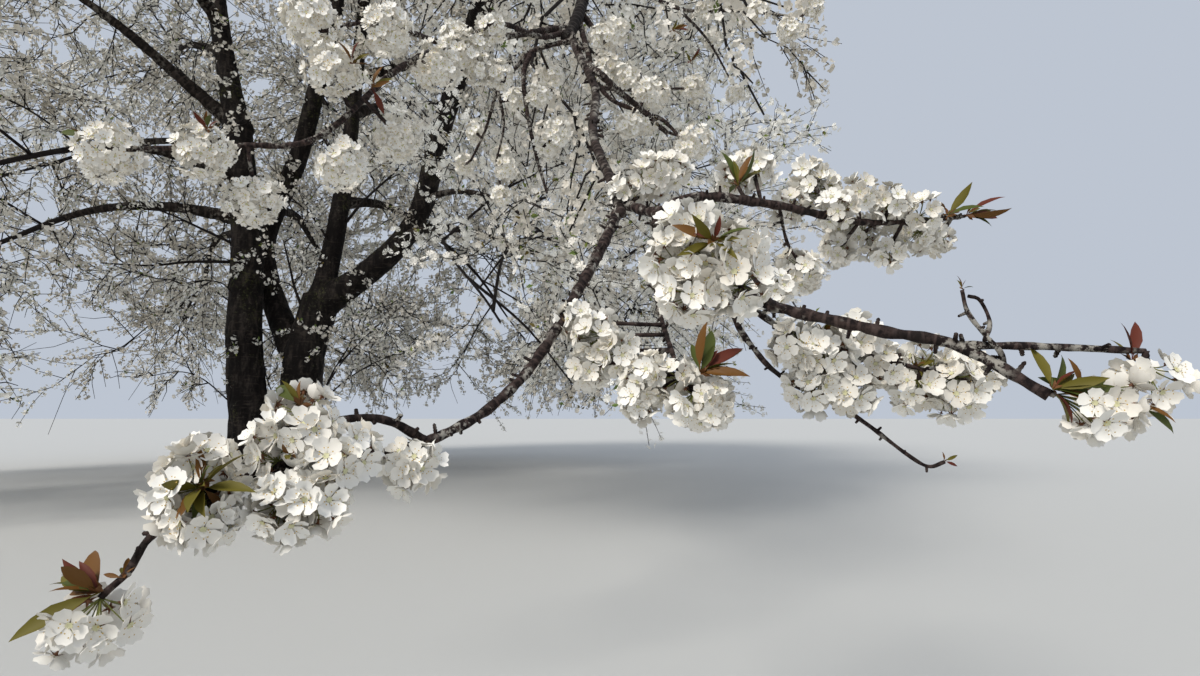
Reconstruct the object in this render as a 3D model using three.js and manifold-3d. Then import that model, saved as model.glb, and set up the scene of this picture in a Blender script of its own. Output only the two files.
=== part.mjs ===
// An old sweet cherry tree in full white blossom: two stems from one foot, with low boughs that
// come forward and droop to eye level. Millimetres, +Z up. The origin lies in the flat cut at
// ground level, between the two stems. +Y is the side away from the open front of the crown.
import * as THREE from "three";
import { mergeVertices } from "three/addons/utils/BufferGeometryUtils.js";
import Module from "manifold-3d";

const wasm = await Module();
wasm.setup();

// Clearances.
const GAP = 0.3; // between one piece of wood and the next
const FREE = 8; // between the twigs of one mass and all other pieces

// The foot of the tree.
const TRUNK_TOP = 500; // height where the two stems leave the trunk
const BELOW_GROUND = 150; // how far the stems run on before the flat cut is made
const FLARE = 0.75; // how much wider than its stem the foot is at the ground
const FLARE_FADE = 190; // height over which the flare dies away
const BUTTRESSES = 5; // ridges of the root flare round each stem
const BUTTRESS_DEPTH = 0.2;
const BUTTRESS_TURN = { stem_left: 0.4, stem_right: 2.1 }; // radians
const TRUNK_SIDES = 15;
const TRUNK_STEPS = 7;

// Wood.
const STEM_SIDES = 10;
const BOUGH_SIDES = 6;
const THICK = 60; // a limb thicker than this at its foot has a stem's sides
const STEP_LENGTH = 700;
const PULL = 0.38; // how long a limb holds its first and last heading, as a share of its span
const COLLAR = 0.35; // swelling at the foot of a limb
const WANDER = 0.012; // sideways wander of a limb, as a share of its span

// Arms: bough and spine in one line.
const ARM_SPLIT = 0.46; // share of an arm that is bare bough
const ARM_TIP = 0.42; // a bough's radius where its mass begins, as a share of its foot's
const BOUGH_STEPS = 4;
const SPINE_STEPS = 3;
const SPINE_TIP = 9; // radius

// Masses of blossom: slim bodies, each of which stands for a spray, on branching twigs.
const TWIGS_PER_MASS = 4;
const TWIG_ANGLE = 56; // degrees from the spine
const TWIG_LENGTH = 1750; // the longest, near the root of the spine
const TWIG_SIDES = 3;
const TWIG_RADII = [15, 7];
const TWIG_DROOP = 0.28;
const GOLDEN_ANGLE = 137.5;
const SPRAY_SIZE = [1150, 500, 380]; // length, width and thickness
const SPRAY_ANGLE = 42; // degrees from the twig
const TWIG_SPRAYS = [0.46, 0.74, 1]; // where sprays stand along a side twig
const SPINE_SPRAYS = [0.86, 1]; // and along a spine
const SPRAY_SUNK = 40; // how deep the last spray of a twig holds the twig's tip
const LOWEST_SPRAY = 900; // above the ground
const LIMB_BALLS = 90; // spacing of the balls that keep a limb's space
const SPINE_BALLS = 24;
const TWIG_BALLS = 14;
const BAY = { // the bay in front of the stems, open to view
  from: new THREE.Vector3(0, -300, 1900),
  to: new THREE.Vector3(3700, -7600, 800),
  radii: [1000, 350],
};

// Near sprays, where single clusters of blossom show.
const SPUR_RADIUS = 4;
const LEAF_SIZE = [75, 26, 3];
const LEAF_SUNK = 8;
const LEAF_FOOT = 0.55; // how far out in its cluster a leaf starts
const FEET = 40; // places on a twig where a spur may stand
const LEAF_EVERY = 3; // clusters to one young leaf

const bark = { color: 0x2b211c, roughness: 0.95, metalness: 0 };
const youngBark = { color: 0x5a4238, roughness: 0.85, metalness: 0 };
const blossom = { color: 0xf3eee6, roughness: 0.7, metalness: 0 };

// Stems and leaders. Each starts at a place of its own, or on another limb at a share of its
// length. leaves and arrives are headings: degrees round from +X, and degrees above level.
const STEMS = [
  { name: "stem_left", start: [-170, -100, 0], leaves: [180, 86], to: [-550, -100, 4120],
    arrives: [180, 82], radii: [215, 150] },
  { name: "stem_right", start: [270, 100, 0], leaves: [0, 92], to: [460, 100, 2090],
    arrives: [0, 74], radii: [250, 205] },
  { name: "stem_middle", on: "stem_right", share: 0.6, leaves: [160, 52], to: [270, 400, 5480],
    arrives: [0, 80], radii: [150, 100], pull: 0.48 },
  { name: "leader_left", on: "stem_left", share: 0.98, leaves: [180, 75], to: [-1100, -250, 8300],
    arrives: [210, 84], radii: [135, 48] },
  { name: "leader_middle", on: "stem_middle", share: 0.985, leaves: [10, 82], to: [450, 800, 8700],
    arrives: [60, 82], radii: [98, 42] },
  { name: "leader_right", on: "stem_right", share: 0.98, leaves: [0, 79], to: [950, 300, 7600],
    arrives: [30, 80], radii: [125, 45] },
  { name: "bough_right", on: "stem_right", share: 0.97, leaves: [-14, 20], to: [2480, -1200, 4960],
    arrives: [-55, 54], radii: [155, 90] },
  { name: "bough_overhead", on: "bough_right", share: 0.95, leaves: [-70, 12],
    to: [3610, -5600, 1890], arrives: [-100, -50], radii: [60, 19] },
  { name: "limb_near", on: "bough_overhead", share: 0.99, leaves: [-76, -46],
    to: [3750, -6580, 1010], arrives: [-84, -36], radii: [13, 9] },
];

// Arms. Each runs from a stem to the edge of the crown: the first part is its bough, and the rest
// is the spine of the mass that it carries. azimuth, out and height give the spine's far end, and
// rise its slope in degrees at both ends.
const ARMS = [
  { name: "left_low", on: "stem_left", share: 0.73, azimuth: -166, rise: [16, -30], out: 4100,
    height: 1800, radius: 78 },
  { name: "front_left_low", on: "stem_left", share: 0.84, azimuth: -124, rise: [14, -34],
    out: 3900, height: 1900, radius: 66 },
  { name: "left_mid", on: "stem_left", share: 0.95, azimuth: 174, rise: [8, -16], out: 4300,
    height: 3500, radius: 58 },
  { name: "back_left_low", on: "stem_left", share: 0.66, azimuth: 136, rise: [30, -30],
    out: 4100, height: 2000, radius: 70 },
  { name: "back_low", on: "stem_middle", share: 0.5, azimuth: 98, rise: [22, -30], out: 4200,
    height: 1950, radius: 66 },
  { name: "back_right_low", on: "leader_right", share: 0.2, azimuth: 54, rise: [24, -30],
    out: 4200, height: 2000, radius: 66 },
  { name: "right_low", on: "bough_right", share: 0.36, azimuth: 16, rise: [16, -26], out: 3900,
    height: 2300, radius: 60 },
  { name: "right_front_low", on: "bough_right", share: 0.3, azimuth: -42, rise: [10, -34],
    out: 4000, height: 1400, radius: 38 },
  { name: "right_front_mid", on: "bough_right", share: 0.46, azimuth: -27, rise: [8, -38],
    out: 4300, height: 1750, radius: 42 },
  { name: "left_front", on: "stem_left", share: 0.99, azimuth: -158, rise: [40, 18], out: 4400,
    height: 6300, radius: 85 },
  { name: "back_left_mid", on: "leader_left", share: 0.2, azimuth: 146, rise: [36, 8], out: 4300,
    height: 6000, radius: 72 },
  { name: "back_mid", on: "stem_middle", share: 0.86, azimuth: 104, rise: [34, 6], out: 4400,
    height: 5700, radius: 72 },
  { name: "back_right_mid", on: "leader_right", share: 0.42, azimuth: 62, rise: [34, 8],
    out: 4400, height: 5900, radius: 68 },
  { name: "right_mid", on: "leader_right", share: 0.5, azimuth: 18, rise: [30, 0], out: 4400,
    height: 5400, radius: 66 },
  { name: "right_front_high", on: "bough_right", share: 0.92, azimuth: -35, rise: [30, -8],
    out: 5000, height: 5100, radius: 62 },
  { name: "front_high", on: "bough_overhead", share: 0.16, azimuth: -76, rise: [34, -12],
    out: 5700, height: 4700, radius: 62 },
  { name: "front_left_high", on: "leader_left", share: 0.3, azimuth: -108, rise: [28, -10],
    out: 4700, height: 5000, radius: 70 },
  { name: "left_top", on: "leader_left", share: 0.62, azimuth: -176, rise: [46, 26], out: 3300,
    height: 8800, radius: 58 },
  { name: "front_top", on: "leader_right", share: 0.66, azimuth: -62, rise: [48, 24], out: 3000,
    height: 8400, radius: 56 },
  { name: "back_top", on: "leader_middle", share: 0.42, azimuth: 100, rise: [48, 24], out: 3200,
    height: 8800, radius: 54 },
  { name: "right_top", on: "leader_right", share: 0.74, azimuth: 22, rise: [50, 30], out: 3300,
    height: 8700, radius: 50 },
];

// Masses that top the leaders: each goes on from its leader's tip.
const CRESTS = [
  { name: "left_crest", on: "leader_left", to: [-1500, -700, 10400], arrives: [215, 70] },
  { name: "middle_crest", on: "leader_middle", to: [450, 1400, 10800], arrives: [70, 72] },
  { name: "right_crest", on: "leader_right", to: [1400, -250, 10000], arrives: [0, 68] },
];

// Near sprays: the places that each twig runs through, and those of the clusters of blossom,
// which stand on short spurs. The first twig leaves its limb at a share of the limb's length.
const NEAR_SPRAYS = [
  { name: "spray_near_left", on: "limb_near", share: 0.985, cluster: 37,
    twigs: [
      { through: [[3700, -6650, 900], [3620, -6770, 740], [3530, -6870, 665], [3400, -7000, 640],
        [3350, -7040, 590], [3280, -7050, 530]], radii: [9, 4] },
      { through: [[3530, -6870, 665], [3490, -6920, 690], [3430, -6990, 680]], radii: [5, 3] },
    ],
    clusters: [[3520, -6900, 645], [3445, -6970, 675], [3440, -6990, 615], [3390, -7015, 620],
      [3355, -7025, 620], [3305, -7050, 525]] },
  { name: "spray_near_right", on: "limb_near", share: 0.96, cluster: 42,
    twigs: [
      { through: [[3800, -6620, 1000], [3860, -6660, 1010], [3980, -6650, 1000],
        [4120, -6600, 990], [4270, -6550, 1010], [4370, -6500, 1030]], radii: [9, 3] },
      { through: [[3800, -6620, 1000], [3830, -6750, 890], [3870, -6850, 830], [3990, -6930, 780],
        [4060, -6960, 760], [4120, -7000, 710]], radii: [8, 5] },
      { through: [[4060, -6960, 760], [4130, -6990, 755], [4210, -7000, 750]], radii: [4, 3] },
      { through: [[3800, -6620, 1000], [3800, -6650, 860], [3820, -6750, 740]], radii: [5, 3] },
    ],
    clusters: [[3800, -6560, 1075], [3950, -6620, 1070], [4070, -6560, 1055], [4140, -6540, 985],
      [4240, -6520, 990], [4020, -6610, 910], [3815, -7000, 835], [3960, -6870, 760],
      [4110, -6850, 725], [4180, -7000, 700], [3710, -6710, 800], [3780, -6740, 740],
      [3840, -6770, 710]] },
  { name: "spray_overhead_left", on: "bough_overhead", share: 0.98, cluster: 72,
    twigs: [
      { through: [[3500, -5700, 1850], [3310, -5900, 1690], [3230, -6100, 1510],
        [3120, -6250, 1280], [2980, -6300, 1240], [2800, -6400, 1190]], radii: [11, 5] },
      { through: [[3310, -5900, 1690], [3200, -6150, 1600], [3130, -6280, 1500]], radii: [8, 4] },
    ],
    clusters: [[2790, -6390, 1190], [2940, -6340, 1210], [3000, -6260, 1140], [3160, -6220, 1230],
      [3240, -6100, 1350], [3170, -6300, 1400], [3110, -6290, 1520], [3240, -6210, 1550],
      [3340, -5920, 1660], [3310, -6030, 1560]] },
  { name: "spray_overhead_right", on: "bough_overhead", share: 0.965, cluster: 60,
    twigs: [
      { through: [[3720, -5650, 1700], [3840, -5650, 1620], [3920, -5610, 1580],
        [4040, -5600, 1550]], radii: [11, 4] },
      { through: [[3720, -5650, 1700], [3850, -5560, 1740], [4030, -5420, 1820]], radii: [7, 4] },
    ],
    clusters: [[3800, -5610, 1760], [3900, -5540, 1740], [4020, -5600, 1550], [4040, -5420, 1820],
      [3850, -5660, 1590]] },
  { name: "spray_overhead_far", on: "bough_overhead", share: 0.8, cluster: 60,
    twigs: [
      { through: [[3850, -4850, 2620], [4050, -4950, 2420], [4250, -5150, 2280],
        [4440, -5360, 2120]], radii: [13, 4] },
      { through: [[4050, -4950, 2420], [4220, -4700, 2420], [4400, -4400, 2350]], radii: [7, 4] },
    ],
    clusters: [[4300, -5300, 2180], [4400, -5350, 2080], [4470, -5380, 2150], [4150, -5080, 2330],
      [4250, -4660, 2450], [4400, -4400, 2320]] },
];

const UP = new THREE.Vector3(0, 0, 1);
const { degToRad, radToDeg, clamp } = THREE.MathUtils;

// The same draws each time: a small linear generator.
function dice(seed) {
  let state = seed >>> 0;
  return () => {
    state = (Math.imul(state, 1664525) + 1013904223) >>> 0;
    return state / 4294967296;
  };
}

function heading([azimuth, rise]) {
  const level = Math.cos(degToRad(rise));
  return new THREE.Vector3(
    level * Math.cos(degToRad(azimuth)),
    level * Math.sin(degToRad(azimuth)),
    Math.sin(degToRad(rise)),
  );
}

// A course has a length, and at, which gives the place at a share of the way along it.
// A limb's course is one bend from where it leaves to where it arrives, with a slight wander.
function limbCourse(start, leaves, end, arrives, seed, pull = PULL) {
  const roll = dice(seed);
  const span = start.distanceTo(end);
  const bend = new THREE.CubicBezierCurve3(
    start,
    start.clone().addScaledVector(leaves, pull * span),
    end.clone().addScaledVector(arrives, -pull * span),
    end,
  );
  const across = new THREE.Vector3().crossVectors(end.clone().sub(start), UP).normalize();
  const phase = 2 * Math.PI * roll();
  const sway = WANDER * (1 + roll()) * span;
  const at = (share) => {
    const wave = Math.sin(Math.PI * share) * Math.sin(phase + 9 * share);
    return bend.getPoint(share).addScaledVector(across, sway * wave);
  };
  return { at, length: bend.getLength() };
}

// Straight legs between the places of a course at some shares, which twigs can be rooted on.
function legsAlong(course, shares) {
  const places = shares.map(course.at);
  const at = (share) => {
    let leg = 1;
    while (leg < shares.length - 1 && share > shares[leg]) leg++;
    const along = (share - shares[leg - 1]) / (shares[leg] - shares[leg - 1]);
    return places[leg - 1].clone().lerp(places[leg], along);
  };
  return { at, length: course.length, steps: shares.length - 1 };
}

// A near twig's course runs straight from one of its places to the next.
function twigCourse(places) {
  const last = places.length - 1;
  const bend = { at: (share) => new THREE.Vector3(...places[Math.round(share * last)]) };
  return legsAlong(bend, places.map((_, k) => k / last));
}

function headingAt(course, share) {
  const step = 1e-3;
  return course.at(share + step).sub(course.at(share - step)).normalize();
}

// The unit vector across a heading, turned round it by an angle in degrees.
function across(direction, turn) {
  const level = new THREE.Vector3().crossVectors(direction, UP).normalize();
  return level.applyAxisAngle(direction, degToRad(turn));
}

// A closed tube: the rings of a cylinder, carried to a stretch of a course. radiusAt takes the
// share of the course and the angle round the ring.
function tube(course, radiusAt, { sides, steps, from = 0, to = 1 }) {
  const geometry = new THREE.CylinderGeometry(1, 1, 1, sides, steps);
  const position = geometry.attributes.position;
  const rings = [];
  let side = across(headingAt(course, from), 0);
  for (let k = 0; k <= steps; k++) {
    const share = from + ((to - from) * k) / steps;
    const along = headingAt(course, share);
    side = side.clone().addScaledVector(along, -side.dot(along)).normalize();
    rings.push({
      share, side, centre: course.at(share), third: new THREE.Vector3().crossVectors(along, side),
    });
  }
  for (let i = 0; i < position.count; i++) {
    const x = position.getX(i);
    const z = position.getZ(i);
    const ring = rings[Math.round((0.5 - position.getY(i)) * steps)];
    const radius = radiusAt(ring.share, Math.atan2(z, x));
    const place = ring.centre
      .clone()
      .addScaledVector(ring.side, x * radius)
      .addScaledVector(ring.third, z * radius);
    position.setXYZ(i, place.x, place.y, place.z);
  }
  return geometry;
}

function toSolid(geometry) {
  const bare = geometry.clone();
  bare.deleteAttribute("normal");
  bare.deleteAttribute("uv");
  const merged = mergeVertices(bare, 1e-3);
  return new wasm.Manifold(
    new wasm.Mesh({
      numProp: 3,
      vertProperties: new Float32Array(merged.attributes.position.array),
      triVerts: new Uint32Array(merged.index.array),
    }),
  );
}

// The largest body alone, which fills sealed hollows and drops loose scraps.
function mainBody(solid) {
  const bodies = solid.decompose();
  return bodies.reduce((best, body) => (body.volume() > best.volume() ? body : best));
}

function toMesh(name, solid, finish) {
  const { vertProperties, triVerts } = mainBody(solid).getMesh();
  const geometry = new THREE.BufferGeometry();
  geometry.setAttribute("position", new THREE.BufferAttribute(vertProperties, 3));
  geometry.setIndex(new THREE.BufferAttribute(triVerts, 1));
  geometry.computeVertexNormals();
  const mesh = new THREE.Mesh(geometry, new THREE.MeshStandardMaterial(finish));
  mesh.name = name;
  return mesh;
}

// Limbs by name, each with its course and its radius along it.
const limbs = new Map();

function addLimb(name, course, [foot, tip], { sides, steps, to = 1, collar = true }) {
  const swelling = (distance) => (collar ? COLLAR * foot * Math.exp(-distance / (1.4 * foot)) : 0);
  const radiusAt = (share) =>
    foot + (tip - foot) * Math.max(share / to, 0) ** 0.85 + swelling(share * course.length);
  limbs.set(name, { name, course, radiusAt, tip, sides, steps, from: 0, to });
}

STEMS.forEach((row, index) => {
  const parent = limbs.get(row.on);
  const start = parent ? parent.course.at(row.share) : new THREE.Vector3(...row.start);
  const end = new THREE.Vector3(...row.to);
  const course = limbCourse(
    start, heading(row.leaves), end, heading(row.arrives), 11 + index, row.pull,
  );
  addLimb(row.name, course, row.radii, {
    sides: row.radii[0] > THICK ? STEM_SIDES : BOUGH_SIDES,
    steps: Math.max(4, Math.round(course.length / STEP_LENGTH)),
    collar: Boolean(parent),
  });
});

const masses = [];
function addMass(name, course, from, foot, seed, limb) {
  const radiusAt = (share) => foot + ((SPINE_TIP - foot) * (share - from)) / (1 - from);
  masses.push({ name: "mass_" + name, course, from, radiusAt, seed, limb });
}

ARMS.forEach((arm, index) => {
  const start = limbs.get(arm.on).course.at(arm.share);
  const end = heading([arm.azimuth, 0]).multiplyScalar(arm.out).setZ(arm.height);
  const bearing = radToDeg(Math.atan2(end.y - start.y, end.x - start.x));
  const bend = limbCourse(
    start, heading([bearing, arm.rise[0]]), end, heading([bearing, arm.rise[1]]), 51 + index,
  );
  const joints = [];
  for (let k = 0; k < BOUGH_STEPS; k++) joints.push((ARM_SPLIT * k) / BOUGH_STEPS);
  for (let k = 0; k <= SPINE_STEPS; k++) {
    joints.push(ARM_SPLIT + ((1 - ARM_SPLIT) * k) / SPINE_STEPS);
  }
  const course = legsAlong(bend, joints);
  const tip = ARM_TIP * arm.radius;
  addLimb("bough_" + arm.name, course, [arm.radius, tip], {
    sides: BOUGH_SIDES, steps: BOUGH_STEPS, to: ARM_SPLIT,
  });
  addMass(arm.name, course, ARM_SPLIT + GAP / course.length, tip, 101 + index);
});

CRESTS.forEach((crest, index) => {
  const leader = limbs.get(crest.on);
  const start = leader.course.at(1);
  const end = new THREE.Vector3(...crest.to);
  const bend = limbCourse(
    start, headingAt(leader.course, 1), end, heading(crest.arrives), 81 + index,
  );
  const joints = Array.from({ length: SPINE_STEPS + 1 }, (_, k) => k / SPINE_STEPS);
  addMass(crest.name, legsAlong(bend, joints), 0, leader.tip, 151 + index, leader);
});

// A limb's tube, swollen a little where it is used to cut another piece clear.
function limbSolid(limb, gap = 0) {
  const { course, radiusAt, sides, steps } = limb;
  const swell = (2 * gap) / Math.cos(Math.PI / sides);
  const beyond = (2 * gap) / course.length;
  const stretch = { from: limb.from - beyond, to: limb.to + beyond };
  return toSolid(tube(course, (share) => radiusAt(share) + swell, { sides, steps, ...stretch }));
}

const tree = new THREE.Group();

// The trunk: the feet of both stems with their root flare, cut flat at the ground.
function footSolid(stem) {
  const { length } = stem.course;
  const turn = BUTTRESS_TURN[stem.name];
  const radiusAt = (share, angle) => {
    const height = clamp(stem.course.at(share).z, 0, TRUNK_TOP);
    const flare = FLARE * Math.exp(-height / FLARE_FADE) * (1 - height / TRUNK_TOP);
    const ridge = 1 + BUTTRESS_DEPTH * Math.cos(BUTTRESSES * angle + turn);
    return stem.radiusAt(Math.max(share, 0)) * (1 + flare * ridge);
  };
  stem.from = TRUNK_TOP / stem.course.at(1).z;
  const stretch = { from: -BELOW_GROUND / length, to: stem.from };
  return toSolid(tube(stem.course, radiusAt, { sides: TRUNK_SIDES, steps: TRUNK_STEPS, ...stretch }));
}
const under = toSolid(new THREE.BoxGeometry(4000, 4000, 1000).translate(0, 0, -500));
const twinStems = [limbs.get("stem_left"), limbs.get("stem_right")];
const feet = wasm.Manifold.union(twinStems.map(footSolid));
tree.add(toMesh("trunk", feet.subtract(under), bark));
for (const stem of twinStems) stem.from += GAP / stem.course.length;

// Every limb is cut clear of those before it.
const cutters = new Map();
for (const limb of limbs.values()) {
  let solid = limbSolid(limb);
  for (const cutter of cutters.values()) solid = solid.subtract(cutter);
  tree.add(toMesh(limb.name, solid, limb.tip > THICK / 2 ? bark : youngBark));
  cutters.set(limb.name, limbSolid(limb, GAP));
}

// Space already taken, as balls along each piece.
const taken = [];
function ballsAlong(course, radiusAt, from, to, count) {
  return Array.from({ length: count }, (_, k) => {
    const share = from + ((to - from) * k) / (count - 1);
    return { centre: course.at(share), radius: radiusAt(share) };
  });
}
function take(balls, owner, kind) {
  for (const ball of balls) taken.push({ ...ball, owner, kind });
}
// A piece stays clear of all other masses and limbs, and a spray of its own mass's sprays too.
function isFree(balls, owner, kind) {
  return balls.every((ball, index) =>
    taken.every((other) => {
      const own = other.owner === owner && !(kind === "spray" && other.kind === kind && index > 1);
      return own || ball.centre.distanceTo(other.centre) > ball.radius + other.radius + FREE;
    }),
  );
}
for (const { name, course, radiusAt, to } of limbs.values()) {
  const count = Math.ceil((course.length * to) / LIMB_BALLS);
  take(ballsAlong(course, radiusAt, 0, to, count), name, "wood");
}
for (const mass of masses) {
  mass.spine = ballsAlong(mass.course, mass.radiusAt, mass.from, 1, SPINE_BALLS);
  take(mass.spine.slice(1), mass.name, "wood");
}

// Each place in the crown belongs to the mass whose spine lies nearest.
function distanceToSpine(mass, place) {
  return Math.min(...mass.spine.map((ball) => ball.centre.distanceTo(place)));
}
function ownsPlace(mass, place) {
  const own = distanceToSpine(mass, place);
  return masses.every((other) => other === mass || distanceToSpine(other, place) > own);
}
function inBay(place) {
  const axis = new THREE.Line3(BAY.from, BAY.to);
  const share = axis.closestPointToPointParameter(place, true);
  const radius = BAY.radii[0] + (BAY.radii[1] - BAY.radii[0]) * share;
  return axis.at(share, new THREE.Vector3()).distanceTo(place) < radius;
}

// A spray of blossom or a leaf: a slim eight-sided body whose root is sunk in what carries it.
function blade(root, direction, [length, width, thickness], sunk, turn) {
  const side = across(direction, turn);
  const third = new THREE.Vector3().crossVectors(side, direction);
  const start = root.clone().addScaledVector(direction, -sunk);
  return new THREE.OctahedronGeometry(1, 0)
    .scale(width / 2, length / 2, thickness / 2)
    .translate(0, length / 2, 0)
    .applyMatrix4(new THREE.Matrix4().makeBasis(side, direction, third).setPosition(start));
}

// The sprays of a twig stand to its two sides in turn, and the last one goes straight on.
function growSprays(mass, twig, shares, radiusAt, roll) {
  const sprays = [];
  shares.forEach((share, index) => {
    const root = twig.at(share);
    const last = index === shares.length - 1;
    const along = headingAt(twig, share);
    const side = across(along, 180 * (index % 2) + 60 * (roll() - 0.5));
    const lean = last ? 0 : degToRad(SPRAY_ANGLE);
    const direction = along.multiplyScalar(Math.cos(lean)).addScaledVector(side, Math.sin(lean));
    const scale = 0.82 + 0.36 * roll();
    const turn = 360 * roll();
    const size = SPRAY_SIZE.map((measure) => measure * scale);
    const balls = [0.1, 0.3, 0.5, 0.7, 0.9].map((along) => ({
      centre: root.clone().addScaledVector(direction, along * size[0]),
      radius: (size[1] / 2) * (1 - Math.abs(2 * along - 1)),
    }));
    const middle = balls[2].centre;
    const tip = balls[4].centre;
    if (tip.z < LOWEST_SPRAY || inBay(middle) || inBay(tip)) return;
    if (!ownsPlace(mass, middle) || !isFree(balls, mass.name, "spray")) return;
    take(balls, mass.name, "spray");
    sprays.push(blade(root, direction, size, last ? SPRAY_SUNK : radiusAt(share) / 2, turn));
  });
  return sprays;
}

// Side twigs leave the spine round a golden angle. Each has a knee, and sags beyond it.
function growMass(mass) {
  const roll = dice(mass.seed);
  const spine = { sides: TWIG_SIDES, steps: SPINE_STEPS, from: mass.from };
  const pieces = [tube(mass.course, mass.radiusAt, spine)];
  let turn = 360 * roll();
  for (let k = 0; k < TWIGS_PER_MASS; k++) {
    const along = (k + 0.35 + 0.3 * roll()) / TWIGS_PER_MASS;
    const share = mass.from + (1 - mass.from) * along;
    const angle = degToRad(TWIG_ANGLE + 16 * (roll() - 0.5));
    const length = TWIG_LENGTH * (1 - 0.5 * along) * (0.85 + 0.3 * roll());
    turn += GOLDEN_ANGLE;
    const forward = headingAt(mass.course, share);
    const side = across(forward, turn);
    const direction = forward.multiplyScalar(Math.cos(angle)).addScaledVector(side, Math.sin(angle));
    const sagging = direction.clone().addScaledVector(UP, -TWIG_DROOP).normalize();
    const root = mass.course.at(share);
    const knee = root.clone().addScaledVector(direction, length / 2);
    const tip = knee.clone().addScaledVector(sagging, length / 2);
    const bend = { at: (part) => [root, knee, tip][Math.round(2 * part)], length };
    const twig = legsAlong(bend, [0, 0.5, 1]);
    const radiusAt = (part) => TWIG_RADII[0] + (TWIG_RADII[1] - TWIG_RADII[0]) * part;
    const balls = ballsAlong(twig, radiusAt, 0.1, 1, TWIG_BALLS);
    if (tip.z < LOWEST_SPRAY || inBay(tip) || !isFree(balls, mass.name, "wood")) continue;
    take(balls, mass.name, "wood");
    pieces.push(tube(twig, radiusAt, { sides: TWIG_SIDES, steps: 2 }));
    pieces.push(...growSprays(mass, twig, TWIG_SPRAYS, radiusAt, roll));
  }
  pieces.push(...growSprays(mass, mass.course, SPINE_SPRAYS, mass.radiusAt, roll));
  const grown = wasm.Manifold.union(pieces.map(toSolid));
  return mass.limb ? grown.subtract(limbSolid(mass.limb, GAP)) : grown;
}
for (const mass of masses) tree.add(toMesh(mass.name, growMass(mass), blossom));

// A cluster of blossom on a short spur from the nearest place on its twigs.
function growCluster(place, size, leafy, twigs, roll) {
  const centre = new THREE.Vector3(...place);
  const feet = twigs.flatMap(({ course }) =>
    Array.from({ length: FEET + 1 }, (_, k) => course.at(k / FEET)),
  );
  const foot = feet.reduce((best, point) =>
    point.distanceTo(centre) < best.distanceTo(centre) ? point : best,
  );
  const direction = heading([360 * roll(), 10 + 50 * roll()]);
  const root = centre.clone().addScaledVector(direction, LEAF_FOOT * size);
  const pieces = [new THREE.IcosahedronGeometry(size, 0).translate(...place)];
  if (leafy) pieces.push(blade(root, direction, LEAF_SIZE, LEAF_SUNK, 360 * roll()));
  if (foot.distanceTo(centre) > size / 2) {
    const spur = { at: (share) => foot.clone().lerp(centre, share), length: 1 };
    pieces.push(tube(spur, () => SPUR_RADIUS, { sides: TWIG_SIDES, steps: 1 }));
  }
  return pieces;
}

function growNearSpray({ on, share, cluster, twigs, clusters }, index) {
  const roll = dice(201 + index);
  const { course: limbBend, steps } = limbs.get(on);
  const joints = Array.from({ length: steps + 1 }, (_, k) => k / steps);
  const root = legsAlong(limbBend, joints).at(share).toArray();
  const grown = twigs.map(({ through, radii }, k) => ({
    course: twigCourse(k ? through : [root, ...through]),
    radii,
  }));
  const pieces = grown.map(({ course, radii: [foot, tip] }) =>
    tube(course, (part) => foot + (tip - foot) * part, { sides: TWIG_SIDES, steps: course.steps }),
  );
  clusters.forEach((place, k) => {
    pieces.push(...growCluster(place, cluster, k % LEAF_EVERY === 0, grown, roll));
  });
  return wasm.Manifold.union(pieces.map(toSolid));
}

// Near sprays are cut clear of the limbs that carry them.
NEAR_SPRAYS.forEach((row, index) => {
  const solid = growNearSpray(row, index)
    .subtract(cutters.get("bough_overhead"))
    .subtract(cutters.get("limb_near"));
  tree.add(toMesh(row.name, solid, blossom));
});

export default tree;
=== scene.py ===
# A large, open-grown sweet cherry in full white blossom. Two stems rise from one foot into a rounded
# crown, and one long bough arches forward and droops to eye level. Metres, +Z up. -Y is the open
# front of the crown. All random draws are seeded.
import math
from types import SimpleNamespace

import bpy
import numpy as np
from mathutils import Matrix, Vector, kdtree, noise


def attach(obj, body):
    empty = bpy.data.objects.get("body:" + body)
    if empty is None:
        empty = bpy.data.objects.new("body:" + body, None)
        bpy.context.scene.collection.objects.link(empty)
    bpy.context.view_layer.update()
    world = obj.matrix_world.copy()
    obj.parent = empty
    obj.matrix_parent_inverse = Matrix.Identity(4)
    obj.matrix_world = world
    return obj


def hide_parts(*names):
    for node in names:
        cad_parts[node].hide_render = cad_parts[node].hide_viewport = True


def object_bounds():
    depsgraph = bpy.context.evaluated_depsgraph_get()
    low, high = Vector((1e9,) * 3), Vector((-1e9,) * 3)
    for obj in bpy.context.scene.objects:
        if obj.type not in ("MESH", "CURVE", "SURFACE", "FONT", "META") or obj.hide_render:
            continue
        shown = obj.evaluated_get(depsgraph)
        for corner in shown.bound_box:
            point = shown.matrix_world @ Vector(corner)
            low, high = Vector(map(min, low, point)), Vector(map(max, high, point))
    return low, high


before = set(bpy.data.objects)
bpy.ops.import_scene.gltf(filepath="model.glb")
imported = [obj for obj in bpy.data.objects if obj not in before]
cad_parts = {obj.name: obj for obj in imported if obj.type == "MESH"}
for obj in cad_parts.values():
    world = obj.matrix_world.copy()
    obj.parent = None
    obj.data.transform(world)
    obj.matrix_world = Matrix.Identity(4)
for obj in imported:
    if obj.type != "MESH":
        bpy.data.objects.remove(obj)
cad_box = [list(corner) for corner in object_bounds()]
bpy.ops.object.select_all(action="DESELECT")

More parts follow.
